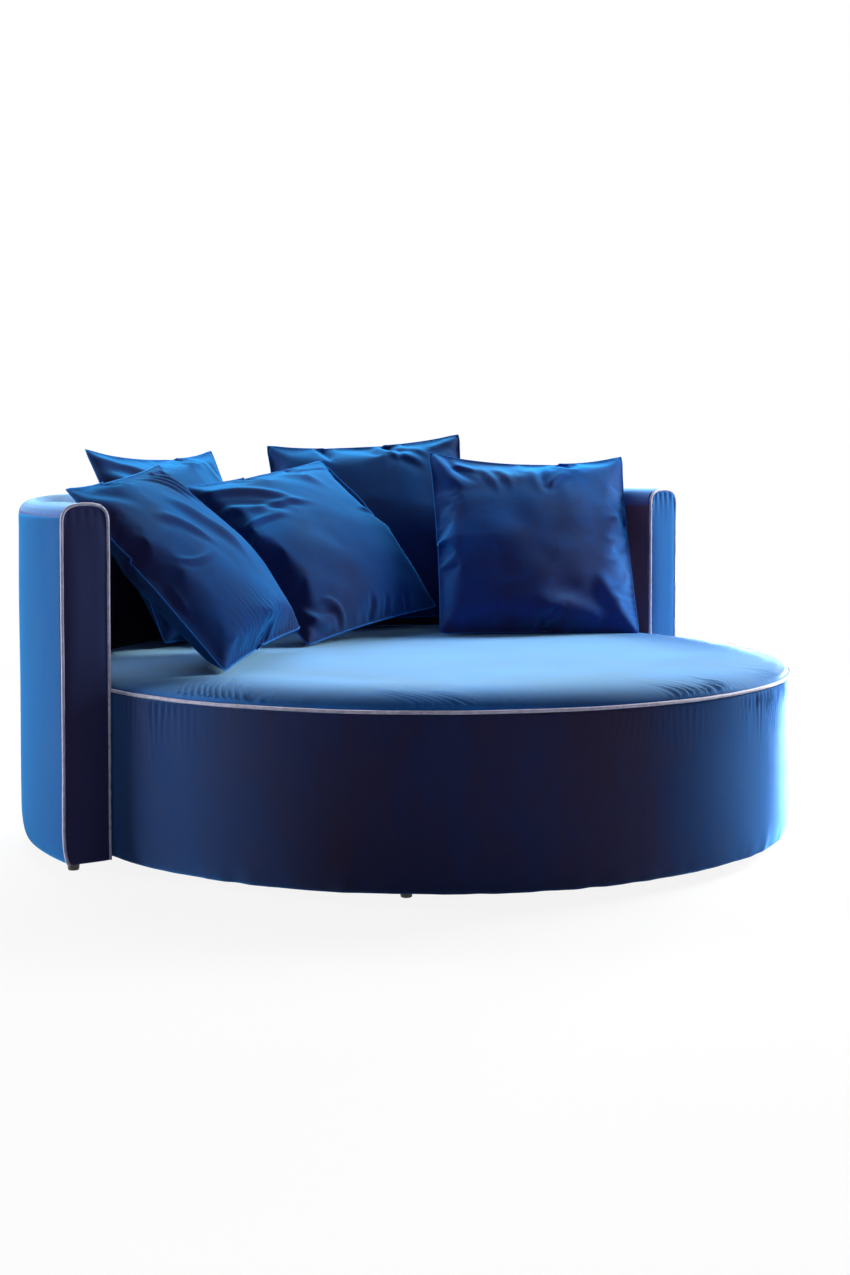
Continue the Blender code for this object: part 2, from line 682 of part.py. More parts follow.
def way_to_contact(points, triangles, direction, reach, supports):
    """The move of a shape along a direction until it touches one of the supports, less the clearance."""

    def touches(distance):
        moved = [point + direction * distance for point in points]
        tree = BVHTree.FromPolygons(moved, triangles)
        return any(tree.overlap(support) for support in supports)

    free = 0.0
    while free < reach and not touches(free + SETTLE_STEP):
        free += SETTLE_STEP
    blocked = free + SETTLE_STEP
    for _ in range(SETTLE_HALVINGS):
        middle = (free + blocked) / 2
        if touches(middle):
            blocked = middle
        else:
            free = middle
    return direction * (free - GAP)


def cushions():
    """Each cushion is let down in its own lean until it rests on what is below it, then pushed back against what
    is behind it."""
    bpy.context.view_layer.update()
    supports = []
    for name in ("seat_cover", "back_inner_cover", "back_outer_cover"):
        supports.append(BVHTree.FromPolygons(*world_shape(bpy.data.objects[name])))
    start = RIM_HEIGHT + SEAT_CROWN + 2 * CUSHION_SIDE
    cover_mesh = cushion_mesh("cushion_cover", 0, True)
    pad_mesh = cushion_mesh("cushion_pad", CUSHION_CLOTH + PAD_CLEARANCE, False)
    for name, place in CUSHION_PLACES_IN_SHARES.items():
        high = cushion_place(*place, start)
        cover = add_part(f"{name}_cover", cover_mesh.copy(), "velvet", high)
        add_shell(cover, CUSHION_CLOTH)
        bpy.context.view_layer.update()
        points, triangles = world_shape(cover)
        facing = math.radians(place[0])
        for direction, reach in (
            (Vector((0, 0, -1)), start),
            (Vector((math.sin(facing), math.cos(facing), 0)), CUSHION_SIDE),
        ):
            move = way_to_contact(points, triangles, direction, reach, supports)
            points = [point + move for point in points]
            cover.matrix_world = Matrix.Translation(move) @ cover.matrix_world
        add_part(f"{name}_pad", pad_mesh.copy(), "filling", cover.matrix_world)
        supports.append(BVHTree.FromPolygons(points, triangles))


def build_sofa():
    piping_cutter = front_opening_cutter("behind_end_piping", PIPING_REACH)
    cover_cutter = front_opening_cutter("behind_end_cover", COVER + GAP)
    board_cutter = front_opening_cutter("behind_end_board", COVER + GAP + END_BOARD + GAP)
    base_panels()
    base_posts()
    base_centre_beam()
    base_upholstery()
    seat_webbing()
    seat_upholstery()
    back_frame(cover_cutter, board_cutter)
    back_ends()
    back_foams(piping_cutter)
    back_upholstery(piping_cutter)
    glides()
    joining_plates()
    cushions()


clear_scene()
SOFA = new_collection("round_sofa")
CUTTERS = new_collection("cutters")
build_sofa()
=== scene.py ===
"""Looks of the round two-seater sofa: velvet covers, cords, five stuffed cushions, camera and studio.

Metres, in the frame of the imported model: +Z up, the sofa faces -Y.
"""

import math

import bpy
import numpy as np
from mathutils import Matrix, Vector
from mathutils.bvhtree import BVHTree


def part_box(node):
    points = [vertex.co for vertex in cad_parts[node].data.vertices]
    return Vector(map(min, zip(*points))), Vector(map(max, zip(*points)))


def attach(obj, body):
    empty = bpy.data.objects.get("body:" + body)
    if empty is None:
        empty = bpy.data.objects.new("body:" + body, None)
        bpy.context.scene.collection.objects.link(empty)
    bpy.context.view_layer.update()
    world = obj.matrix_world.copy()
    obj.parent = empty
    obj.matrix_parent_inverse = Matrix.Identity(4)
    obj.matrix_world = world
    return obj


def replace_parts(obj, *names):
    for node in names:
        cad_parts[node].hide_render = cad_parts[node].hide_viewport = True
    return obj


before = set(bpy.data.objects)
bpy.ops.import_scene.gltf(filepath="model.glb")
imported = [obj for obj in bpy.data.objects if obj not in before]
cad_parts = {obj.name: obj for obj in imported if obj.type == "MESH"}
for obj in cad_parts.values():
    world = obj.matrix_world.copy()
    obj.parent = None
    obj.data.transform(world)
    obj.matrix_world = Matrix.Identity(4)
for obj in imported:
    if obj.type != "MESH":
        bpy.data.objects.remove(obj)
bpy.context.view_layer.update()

# The frame's own sizes
SIDE_LOW, SIDE_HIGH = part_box("base_side_cover")
RIM_LOW, RIM_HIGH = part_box("seat_rim_piping")
SEAT_LOW, SEAT_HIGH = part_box("seat_cover")
INNER_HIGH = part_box("back_inner_cover")[1]
OUTER_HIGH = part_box("back_outer_cover")[1]
DRUM_Y = (SIDE_LOW.y + SIDE_HIGH.y) / 2
DRUM_RADIUS = (SIDE_HIGH.x - SIDE_LOW.x) / 2
SIDE_TOP = SIDE_HIGH.z
UNDERSIDE = SIDE_LOW.z
PIPING_RADIUS = (RIM_HIGH.z - RIM_LOW.z) / 2
RIM_HEIGHT = (RIM_HIGH.z + RIM_LOW.z) / 2
RIM_REACH = (RIM_HIGH.x - RIM_LOW.x) / 2
RIM_PIPING_RADIUS = RIM_REACH - PIPING_RADIUS
SEAT_RADIUS = (SEAT_HIGH.x - SEAT_LOW.x) / 2
SEAT_TOP = SEAT_HIGH.z
BACK_TOP = INNER_HIGH.z
BACK_SEAM = OUTER_HIGH.z
BACK_OUTER = OUTER_HIGH.y - DRUM_Y

# Clearance, cloth and what lies past the sofa
GAP = 0.0003
COVER = 0.002
FAR = 9.0
BACK_INNER = RIM_REACH + GAP
BACK_END = math.radians(85)
SIDES = ((-1, "left"), (1, "right"))

# The covers' sections: the hem is the solids' own, the seat's crown and the back's arch are a little fuller
CROWN_POWER = 12.0
CROWN_ROUND = 0.50
HEM_DRAW_IN = 0.013
HEM_CURVE = 0.070
HEM_TURN_UNDER = 0.050
ARCH_RISE = 0.044
ARCH_POWER = 2.80
ARCH_SPRING = BACK_TOP - ARCH_RISE
PIPING_PROUD = 0.0025
CORD_ASIDE = (0.3, 0.2, 0.9)
GLIDE_FOOT_SHARE = 0.84
GLIDE_EDGE = 0.003
GLIDE_SHARP_ANGLE = math.radians(40)

# Fineness
ROUND_STEPS = 900
WRAP_STEPS = 540
SEAT_RINGS = ((0.01, 0.60, 24), (0.60, 0.86, 30), (0.86, 1.00, 80))
HEM_STEPS = 14
ARCH_STEPS = 48
PANEL_COLUMNS = 49
PANEL_ROWS = 160
TUBE_SIDES = 16
GLIDE_SIDES = 48
GLIDE_EDGE_STEPS = 7
COVER_SPACING = 0.006
OUTER_SPACING = 0.007
NOISE_CELLS = 64

# Soft waves of the covers: depth, width, height and seed, and for the seat also where the pattern starts
SIDE_WAVES = (0.0013, 0.21, 0.16, 3)
HEM_WAVES = (0.0013, 0.035, 0.05, 5)
HEM_SLACK_ZONE = (0.30, 0.36)
SEAT_WAVES = (0.0017, 0.20, 0.34, 21, 9)
BACK_WAVES = (0.0013, 0.24, 0.20, 61)
PANEL_WAVES = (0.0010, 0.05, 0.13)
PANEL_SEED = 73

# Where the drum's velvet is gathered: the middle and half the width of each group, in degrees from the back
SIDE_GATHERS = [(162, 14), (262, 10)]
SEAT_UPRIGHT_GATHERS = [(176, 24), (60, 20)]
SEAT_SLANTING_GATHERS = [(251, 13), (224, 9)]

# Pleats: height, spacing, reach, seed and, on the seat, slant. A share of them runs on all round.
SIDE_PLEATS = (0.0050, 0.017, 0.085, 11)
SIDE_PLEAT_SHARE = 0.25
SEAT_UPRIGHT_PLEATS = (0.0075, 0.021, 0.075, 31, 0.15)
SEAT_PLEAT_SHARE = 0.2
SEAT_SLANTING_PLEATS = (0.0070, 0.019, 0.130, 41, -0.9)
BACK_PLEATS = (0.0008, 0.014, 0.02, 63)
PLEAT_WANDER = 0.7
PLEATS_IN_A_GROUP = 9
SEAM_FLAT = 0.006

# The end panels: how far the filling swells them, and the pleats under their arch, shallower on the left
PANEL_SWELL = 0.0030
PANEL_TOP_ZONE = 0.05
PANEL_SEAM_FLAT = 0.004
PANEL_PLEAT_SPACING = 0.021
PANEL_PLEAT_REACH = 0.045
PANEL_PLEAT_WANDER = (0.8, 0.03, 71)
PANEL_PLEAT_DEPTHS = {"left": 0.0010, "right": 0.0034}

# How the cords stray from their line and vary in thickness: the amount, the length it takes, and the seed
RIM_WANDER = (0.0006, 0.06, 51)
RIM_SWAY = (0.0007, 0.09, 52)
END_WANDER = (0.0009, 0.11, 81)
END_SWAY = (0.0005, 0.08, 84)
CORD_UNEVENNESS = (0.05, 0.02, 53)
END_CORD_UNEVENNESS = (0.05, 0.02, 87)

# Each cushion: how far round its facing is from the middle of the back, its lean, its own turn, in degrees
CUSHION_TURNS = {
    "rear_left": (-20.0, 27.4, -0.9),
    "rear_centre": (37.6, 23.7, 3.7),
    "right": (31.4, 28.6, -1.7),
    "centre": (-5.5, 42.9, 9.1),
    "left": (-29.7, 41.7, 6.8),
}

# How far the left, right, lower and upper edges draw in between the corners, in shares of half a side
EDGE_DRAW_SHARES = {
    "rear_left": (0.03, 0.03, 0.03, 0.11),
    "rear_centre": (0.04, 0.02, 0.03, 0.08),
    "right": (0.03, 0.02, 0.02, 0.12),
    "centre": (0.03, 0.00, 0.04, 0.03),
    "left": (0.04, 0.00, 0.04, 0.04),
}

# Cloth of the cushions
CUSHION_CELLS = 64
CUSHION_SIDE = 0.540
CUSHION_FLAT = 0.575
CUSHION_FILL = 0.0235
CUSHION_START = 0.030
CUSHION_UNEVENNESS = (0.006, 0.5, 0.5)
CUSHION_LEAST = 0.012
CUSHION_FULLNESS = 1.42
CUSHION_SAG = 0.22
CORNER_EAR_SHARE = 0.014
CORNER_BLUNT_SHARE = 0.016
CUSHION_GRAIN = 0.0012
SEAM_RADIUS = 0.0016
SIMULATION_FRAMES = 30
FIRST_SEED = 100
FIRST_MIRRORED = 3
CLEARING_ROUNDS = 2
EASING_ROUNDS = 30

# The folds of each cushion's front: from and to in shares of half a side, to the right and up, then the bow
# of the line in the same shares, and the fold's width and height in metres. A valley has a negative height.
CUSHION_FOLDS = {
    "rear_left": [
        ((-0.93, 0.90), (-0.40, 0.76), 0.04, 0.015, 0.006),
        ((-0.90, 0.80), (-0.35, 0.58), 0.04, 0.020, -0.007),
        ((0.29, 0.78), (0.65, 0.88), 0.03, 0.014, 0.004),
        ((0.70, 0.90), (0.78, 0.62), 0.00, 0.014, -0.004),
    ],
    "rear_centre": [
        ((-0.47, 0.96), (-0.36, 0.76), 0.02, 0.009, -0.006),
        ((0.20, 0.96), (0.38, 0.72), 0.03, 0.010, -0.007),
        ((0.36, 0.90), (0.62, 0.78), 0.03, 0.012, 0.005),
        ((0.28, 0.80), (0.58, 0.64), 0.03, 0.014, 0.005),
        ((0.66, 0.84), (0.96, 0.94), 0.02, 0.014, 0.006),
        ((-0.95, 0.86), (-0.78, 0.35), 0.00, 0.022, -0.007),
    ],
    "right": [
        ((-0.97, 0.95), (-0.70, 0.58), -0.05, 0.014, 0.008),
        ((-0.84, 0.95), (-0.58, 0.66), -0.03, 0.012, -0.006),
        ((-0.78, 0.88), (-0.54, 0.80), 0.02, 0.012, 0.006),
        ((-0.52, 0.86), (-0.36, 0.54), 0.03, 0.013, 0.004),
        ((-0.36, 0.86), (-0.22, 0.58), 0.03, 0.013, 0.004),
        ((0.08, 0.90), (0.14, 0.52), 0.00, 0.014, -0.006),
        ((0.14, 0.58), (0.36, 0.74), 0.02, 0.012, 0.005),
        ((0.96, 0.30), (0.74, 0.22), 0.02, 0.012, 0.004),
        ((0.96, 0.04), (0.72, -0.04), 0.02, 0.011, 0.005),
        ((0.95, -0.14), (0.72, -0.28), 0.02, 0.010, 0.005),
        ((0.95, -0.38), (0.72, -0.56), 0.03, 0.011, 0.005),
        ((0.95, -0.66), (0.74, -0.66), 0.00, 0.010, 0.004),
        ((0.05, -0.56), (0.88, -0.94), 0.07, 0.030, -0.009),
        ((0.58, -0.42), (0.92, -0.90), -0.04, 0.022, 0.008),
    ],
    "centre": [
        ((-0.96, 0.84), (-0.12, 0.46), 0.06, 0.013, 0.010),
        ((-0.97, 0.66), (-0.30, 0.36), 0.05, 0.015, -0.011),
        ((-0.64, 0.46), (0.02, 0.38), 0.03, 0.010, 0.006),
        ((-0.94, 0.26), (-0.42, 0.30), 0.03, 0.009, 0.006),
        ((-0.88, -0.78), (-0.56, -0.92), -0.04, 0.010, 0.008),
        ((-0.84, -0.68), (-0.52, -0.80), -0.03, 0.013, -0.008),
        ((-0.62, -0.68), (-0.42, -0.94), 0.05, 0.011, 0.007),
        ((-0.02, -0.99), (0.05, -0.76), 0.00, 0.011, -0.007),
        ((0.22, -0.99), (0.26, -0.80), 0.00, 0.009, -0.006),
        ((0.56, -0.99), (0.54, -0.82), 0.00, 0.009, -0.006),
        ((0.48, 0.90), (0.88, 0.88), 0.02, 0.008, 0.005),
        ((0.60, 0.96), (0.86, 0.95), 0.00, 0.006, 0.004),
        ((0.66, 0.20), (0.94, 0.02), 0.03, 0.010, 0.005),
        ((0.10, 0.86), (0.52, 0.62), 0.05, 0.020, 0.005),
    ],
    "left": [
        ((0.30, 0.92), (0.52, 0.50), 0.04, 0.009, 0.006),
        ((0.50, 0.93), (0.70, 0.46), 0.03, 0.008, 0.006),
        ((0.66, 0.95), (0.84, 0.44), 0.03, 0.007, 0.006),
        ((0.82, 0.96), (0.94, 0.42), 0.01, 0.006, 0.004),
        ((0.56, 0.96), (0.88, 0.90), 0.02, 0.007, 0.004),
        ((0.00, 0.54), (0.40, -0.20), 0.06, 0.024, 0.008),
        ((-0.45, 0.42), (-0.02, 0.02), 0.04, 0.016, 0.006),
        ((-0.70, -0.02), (-0.28, -0.09), -0.05, 0.008, 0.006),
        ((-0.90, -0.16), (-0.92, -0.44), 0.00, 0.007, 0.003),
        ((-0.96, 0.93), (-0.50, 0.66), 0.03, 0.020, -0.008),
        ((-0.80, -0.84), (-0.50, -0.90), 0.03, 0.009, 0.004),
    ],
}

# Rows of small gathers along the cushions' lower and right edges: the edge, where the row starts and ends
# in shares of half a side, then the height, the spacing and the reach in metres.
CUSHION_GATHERS = {
    "rear_left": [("right", -0.2, 1.0, 0.0025, 0.024, 0.030)],
    "rear_centre": [("right", -0.4, 1.0, 0.0025, 0.026, 0.030)],
    "right": [
        ("right", -1.0, 0.6, 0.0035, 0.026, 0.045),
        ("lower", -0.9, 0.9, 0.0020, 0.030, 0.035),
    ],
    "centre": [
        ("lower", -0.6, 1.0, 0.0035, 0.026, 0.045),
        ("right", -0.7, 0.7, 0.0020, 0.028, 0.025),
    ],
    "left": [
        ("lower", -0.9, 1.0, 0.0060, 0.020, 0.075),
        ("right", -0.9, 0.9, 0.0025, 0.026, 0.030),
    ],
}
CUSHION_GATHER_SLANT = 0.25

# Velvet: its sheen, how fine its patches are along each axis, and the pile's dark and light colours. Several
# of these colours are painted light and painted shade for single parts, as marked below
SHEEN_ROUGHNESS = 0.51
PILE_LEAN_ZONE = 0.30
PILE_LEAN_DEPTH = 0.0825
ROLL_FADE_DEPTH = 0.045
ROLL_FADE_STEPS = 6
UPRIGHT = (1, 1, 0.4)
ROUND_THE_DRUM = (1, 1, 0.35)
ACROSS_THE_SEAT = (1, 1, 2)
# PAINTED_SHADE_PLUM_BLACK, PAINTED_SHADE_PLUM and PAINTED_SHADE_SHEEN are painted shade: a dark copy of the
# velvet for the inner wall
PAINTED_SHADE_PLUM_BLACK = (0.064, 0.028, 0.046)
PAINTED_SHADE_PLUM = (0.090, 0.042, 0.074)
# PAINTED_SHADE_INK is painted shade: the drum's side is a near-black copy of the velvet
PAINTED_SHADE_INK = (0.023, 0.008, 0.018)
NAVY = (0.013, 0.017, 0.070)
SLATE = (0.022, 0.012, 0.040)
DUSK = (0.032, 0.020, 0.070)
ROYAL = (0.012, 0.028, 0.130)
# PAINTED_LIGHT_LAPIS is painted light: it lightens the cushions' seams and the right cushion
PAINTED_LIGHT_LAPIS = (0.016, 0.055, 0.260)
# PAINTED_LIGHT_COBALT and PAINTED_LIGHT_AZURE are painted light: they make the seat's velvet far lighter
# than the same cloth elsewhere. PAINTED_LIGHT_AZURE also lightens the seams and the top of the roll
PAINTED_LIGHT_COBALT = (0.004, 0.065, 0.270)
PAINTED_LIGHT_AZURE = (0.012, 0.140, 0.500)
PALE_SHEEN = (0.31, 0.58, 0.72)
# PAINTED_LIGHT_ROLL_SHEEN is painted light: a paler sheen for the top of the inner cover's roll
PAINTED_LIGHT_ROLL_SHEEN = (0.27, 0.54, 0.80)
BLUE_SHEEN = (0.03, 0.40, 0.94)
DRUM_SHEEN = (0.06, 0.34, 0.92)
PAINTED_SHADE_SHEEN = (0.05, 0.10, 0.20)

# The inner cover's dark, light and sheen, each from its wall to the top of its roll: painted shade on the
# wall, fading to painted light at the top of the roll
PAINTED_SHADE_TO_LIGHT_FADES = ((PAINTED_SHADE_PLUM_BLACK, ROYAL), (PAINTED_SHADE_PLUM, PAINTED_LIGHT_AZURE), (PAINTED_SHADE_SHEEN, PAINTED_LIGHT_ROLL_SHEEN))

# Each cushion's sheen weight and its two tones, which are painted light and shade: a weaker sheen dims the
# left and centre cushions, and lighter tones brighten the right one
CUSHION_PAINTED_LIGHT_AND_SHADE = {
    "rear_left": (1.0, SLATE, ROYAL),
    "rear_centre": (1.0, SLATE, ROYAL),
    "right": (1.0, DUSK, PAINTED_LIGHT_LAPIS),
    "centre": (0.75, SLATE, ROYAL),
    "left": (0.52, SLATE, ROYAL),
}

# Each lamp: its place, what it aims at, its width and height, its watts, and its spread in degrees
LAMPS = {
    "top_rear": ((0.7, 2.0, 2.6), (0.0, -0.1, 0.4), (2.6, 1.6), 165, 180),
    "right": ((3.1, -0.8, 2.0), (0.4, -0.1, 0.4), (1.4, 1.4), 225, 180),
    "low_right": ((3.6, 0.5, 0.20), (0.55, -0.75, 0.2), (0.6, 0.36), 50, 36),
    "left_rear": ((-2.9, 2.35, 0.55), (-0.6, 0.2, 0.4), (1.6, 1.0), 135, 180),
    "front": ((-2.6, -4.2, 2.2), (0.0, 0.0, 0.4), (2.0, 2.0), 6, 180),
}

# The floor, which fades into the white background away from the sofa
FLOOR_HALF = 14.0
FADE_RADII = (1.0, 4.5)
FADE_SHARES = (0.88, 1.0)


# Noise, paths and meshes


def value_noise(x, y, seed):
    """Smooth noise from -1 to 1 over a plane, with features of size 1."""
    table = np.random.default_rng(seed).uniform(-1, 1, (NOISE_CELLS, NOISE_CELLS))
    x, y = np.broadcast_arrays(np.asarray(x, float), np.asarray(y, float))
    left, low = np.floor(x).astype(int), np.floor(y).astype(int)
    across, up = x - left, y - low
    across, up = across**2 * (3 - 2 * across), up**2 * (3 - 2 * up)

    def at(i, j):
        return table[(left + i) % NOISE_CELLS, (low + j) % NOISE_CELLS]

    bottom = at(0, 0) * (1 - across) + at(1, 0) * across
    top = at(0, 1) * (1 - across) + at(1, 1) * across
    return bottom * (1 - up) + top * up


def waves(x, y, depth, width, height, seed, start=0):
    return depth * value_noise(x / width + start, y / height, seed)


def wander(run, amount, length, seed):
    """How far a line strays along its run."""
    return amount * value_noise(run / length, 0.5, seed)


def smooth_step(low, high, x):
    share = np.clip((x - low) / (high - low), 0, 1)
    return share**2 * (3 - 2 * share)


def gathers(along, away, height, pitch, reach, seed, slant=0.0, creased=False):
    """Small pleats that run from a seam: along it and away from it in metres. They come in groups. Creased
    pleats are broad, with narrow creases between them."""
    place = along + slant * away
    turns = place / pitch + PLEAT_WANDER * value_noise(place / (3 * pitch), away / reach, seed)
    wave = 0.5 - 0.5 * np.cos(math.tau * turns)
    length = reach * (0.65 + 0.45 * value_noise(place / (1.3 * pitch), 0.5, seed + 1))
    group = smooth_step(-0.55, 0.35, value_noise(place / (PLEATS_IN_A_GROUP * pitch), 3.3, seed + 2))
    wave = 1 - wave**2 if creased else wave**2
    return height * wave * group * np.exp(-((away / length) ** 1.3)) * smooth_step(0, SEAM_FLAT, away)


def humps(x, places):
    """The sum of flat-topped humps of height 1, each given by its middle and half its width."""
    return sum(np.exp(-(((x - middle) / half) ** 4)) for middle, half in places)


def path_normals(path):
    """Unit normals to the left of a path of (radius, height) points."""
    along = np.gradient(path, axis=0)
    along /= np.linalg.norm(along, axis=1, keepdims=True)
    return np.stack([-along[:, 1], along[:, 0]], -1)


def lengths_along(path):
    steps = np.linalg.norm(np.diff(path, axis=0), axis=1)
    return np.concatenate([[0], np.cumsum(steps)])


def resampled(path, spacing):
    """A path with points an even spacing apart."""
    run = lengths_along(path)
    count = max(2, int(round(run[-1] / spacing)) + 1)
    places = np.linspace(0, run[-1], count)
    return np.stack([np.interp(places, run, path[:, i]) for i in range(path.shape[1])], -1)


def turned_points(angles, path, lift):
    """The points of a turned sheet: an angle from the middle of the back for each row, and the path's
    points moved outwards by a lift. Angles may differ from point to point."""
    normals = path_normals(path)
    radius = path[None, :, 0] + normals[None, :, 0] * lift
    height = path[None, :, 1] + normals[None, :, 1] * lift
    angles = np.broadcast_to(angles if angles.ndim == 2 else angles[:, None], radius.shape)
    return np.stack([radius * np.sin(angles), DRUM_Y + radius * np.cos(angles), height], -1)


def grid_faces(rows, columns, wrap=False):
    """Quads of a grid of points numbered row by row. With wrap the last row joins the first."""
    index = np.arange(rows * columns).reshape(rows, columns)
    after = np.roll(index, -1, axis=0)
    if not wrap:
        index, after = index[:-1], after[:-1]
    return np.stack([index[:, :-1], after[:, :-1], after[:, 1:], index[:, 1:]], -1).reshape(-1, 4)


def linked(obj):
    bpy.context.scene.collection.objects.link(obj)
    return obj


def add_piece(name, points, faces, material, body="sofa", thickness=0.0):
    """A smooth mesh piece that rides on a body. A cloth has its thickness on its inner side."""
    mesh = bpy.data.meshes.new(name)
    mesh.from_pydata(points.reshape(-1, 3).tolist(), [], [list(face) for face in faces])
    mesh.materials.append(material)
    mesh.shade_smooth()
    piece = linked(bpy.data.objects.new(name, mesh))
    if thickness:
        cloth = piece.modifiers.new("Cloth", "SOLIDIFY")
        cloth.thickness = thickness
        cloth.offset = -1
        cloth.use_even_offset = True
    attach(piece, body)
    return piece


def tube(name, path, radii, material, body="sofa", closed=False):
    """A round cord along a path of 3-D points, with closed ends unless the path is a loop."""
    count = len(path)
    if closed:
        along = np.roll(path, -1, axis=0) - np.roll(path, 1, axis=0)
    else:
        along = np.gradient(path, axis=0)
    along /= np.linalg.norm(along, axis=1, keepdims=True)
    side = np.zeros_like(path)
    side[0] = np.cross(along[0], CORD_ASIDE)
    side[0] /= np.linalg.norm(side[0])
    for i in range(1, count):
        side[i] = side[i - 1] - along[i] * side[i - 1].dot(along[i])
        side[i] /= np.linalg.norm(side[i])
    other = np.cross(along, side)
    turns = np.linspace(0, math.tau, TUBE_SIDES, endpoint=False)
    radii = np.broadcast_to(np.asarray(radii, float), (count,))[:, None, None]
    ring = side[:, None] * np.cos(turns)[None, :, None] + other[:, None] * np.sin(turns)[None, :, None]
    points = path[:, None] + radii * ring
    index = np.arange(count * TUBE_SIDES).reshape(count, TUBE_SIDES)
    after = np.roll(index, -1, axis=0) if closed else index[1:]
    before = index if closed else index[:-1]
    corners = [before, np.roll(before, -1, axis=1), np.roll(after, -1, axis=1), after]
    faces = np.stack(corners, -1).reshape(-1, 4).tolist()
    if not closed:
        faces += [index[0][::-1].tolist(), index[-1].tolist()]
    return add_piece(name, points, faces, material, body)


# Materials


def feed(tree, socket, value):
    """Give a socket a value, or link another node's output to it."""
    if isinstance(value, bpy.types.NodeSocket):
        tree.links.new(value, socket)
    else:
        socket.default_value = value


def add_node(tree, kind, inputs, **settings):
    """A shader node with its settings. Its inputs, by name or number, get values or links."""
    node = tree.nodes.new(f"ShaderNode{kind}")
    for setting, value in settings.items():
        setattr(node, setting, value)
    for socket, value in inputs.items():
        feed(tree, node.inputs[socket], value)
    return node


class Finish:
    """A material under construction, with its Principled shader and shorthand for adding nodes."""

    def __init__(self, name, roughness, metallic=0.0):
        self.material = bpy.data.materials.new(name)
        self.material.use_nodes = True
        self.tree = self.material.node_tree
        self.shader = self.tree.nodes["Principled BSDF"]
        self.set("Roughness", roughness)
        self.set("Metallic", metallic)
        self.place = self.add("TexCoord", {}).outputs["Object"]

    def add(self, kind, inputs, **settings):
        return add_node(self.tree, kind, inputs, **settings)

    def set(self, socket, value):
        feed(self.tree, self.shader.inputs[socket], value)

    def stretched(self, scale, turn=(0, 0, 0)):
        angles = [math.radians(angle) for angle in turn]
        inputs = {"Vector": self.place, "Scale": scale, "Rotation": angles}
        return self.add("Mapping", inputs).outputs["Vector"]

    def noise(self, scale, detail=2.0, distortion=0.0, place=None, roughness=0.5):
        inputs = {"Scale": scale, "Detail": detail, "Distortion": distortion, "Roughness": roughness}
        return self.add("TexNoise", {"Vector": place or self.place, **inputs}).outputs["Fac"]

    def wave(self, scale, distortion=0.0, place=None, direction="X"):
        inputs = {"Vector": place or self.place, "Scale": scale, "Distortion": distortion, "Detail": 2.0}
        return self.add("TexWave", inputs, bands_direction=direction).outputs["Fac"]

    def cells(self, scale):
        return self.add("TexVoronoi", {"Vector": self.place, "Scale": scale}).outputs["Distance"]

    def sum(self, first, second, share=1.0):
        """first + share * second"""
        return self.add("Math", {0: second, 1: share, 2: first}, operation="MULTIPLY_ADD").outputs["Value"]

    def product(self, first, second):
        return self.add("Math", {0: first, 1: second}, operation="MULTIPLY").outputs["Value"]

    def length(self, vector):
        return self.add("VectorMath", {0: vector}, operation="LENGTH").outputs["Value"]

    def ramp(self, value, stops):
        made = self.add("ValToRGB", {"Fac": value})
        for element, (place, colour) in zip(made.color_ramp.elements, stops):
            element.position = place
            element.color = (*colour, 1)
        return made.outputs["Color"]

    def spread(self, value, low, high, from_low=0.3, from_high=0.7, **settings):
        inputs = {0: value, 1: from_low, 2: from_high, 3: low, 4: high}
        return self.add("MapRange", inputs, **settings).outputs[0]

    def edge_share(self):
        """How far across the seat's outer zone, as a share squared: 0 inside, 1 at the rim."""
        inputs = {0: self.place, 1: (1, 1, 0), 2: (0, -DRUM_Y, 0)}
        from_axis = self.add("VectorMath", inputs, operation="MULTIPLY_ADD").outputs[0]
        share = self.spread(self.length(from_axis), 0, 1, SEAT_RADIUS - PILE_LEAN_ZONE, SEAT_RADIUS)
        return self.product(share, share)

    def bump(self, height, distance, strength=1.0, under=None):
        inputs = {"Height": height, "Distance": distance, "Strength": strength}
        if under:
            inputs["Normal"] = under
        return self.add("Bump", inputs).outputs["Normal"]

    def patterned(self, pattern, tones, rough, relief, shade=None, wear=None):
        """The finished material. Its bump follows a pattern, and so do its colour and its roughness unless
        they have a shade or a wear of their own."""
        self.set("Base Color", self.ramp(shade or pattern, tones))
        self.set("Roughness", self.spread(wear or pattern, *rough))
        self.set("Normal", self.bump(pattern, *relief))
        return self.material


def velvet(name, dark, light, sheen, gloss, brush=(1, 1, 1), edge=False, sheen_weight=1.0):
    """Cotton velvet: a deep pile with a sheen at glancing angles, brushed light and dark in soft patches.
    With edge the pile leans outwards more and more towards the seat's rim."""
    finish = Finish(name, 0.85)
    brushed = finish.stretched(brush)
    patches = finish.noise(2.6, 2.0, 0.4, brushed)
    strokes = finish.noise(15.0, 3.0, 1.2, brushed)
    pile = finish.noise(420.0, 2.0)
    fibres = finish.noise(1500.0, 1.0)
    shade = finish.sum(finish.sum(patches, strokes, 0.30), pile, 0.12)
    finish.set("Base Color", finish.ramp(shade, [(0.52, dark), (0.86, light)]))
    finish.set("Roughness", finish.spread(strokes, 0.78, 0.95))
    under = finish.bump(finish.edge_share(), -PILE_LEAN_DEPTH) if edge else None
    under = finish.bump(strokes, 0.0010, 0.4, under)
    under = finish.bump(pile, 0.0004, 0.5, under)
    finish.set("Normal", finish.bump(fibres, 0.0002, 0.35, under))
    finish.set("Specular IOR Level", gloss)
    finish.set("Sheen Weight", sheen_weight)
    finish.set("Sheen Roughness", SHEEN_ROUGHNESS)
    finish.set("Sheen Tint", (*sheen, 1))
    return finish.material


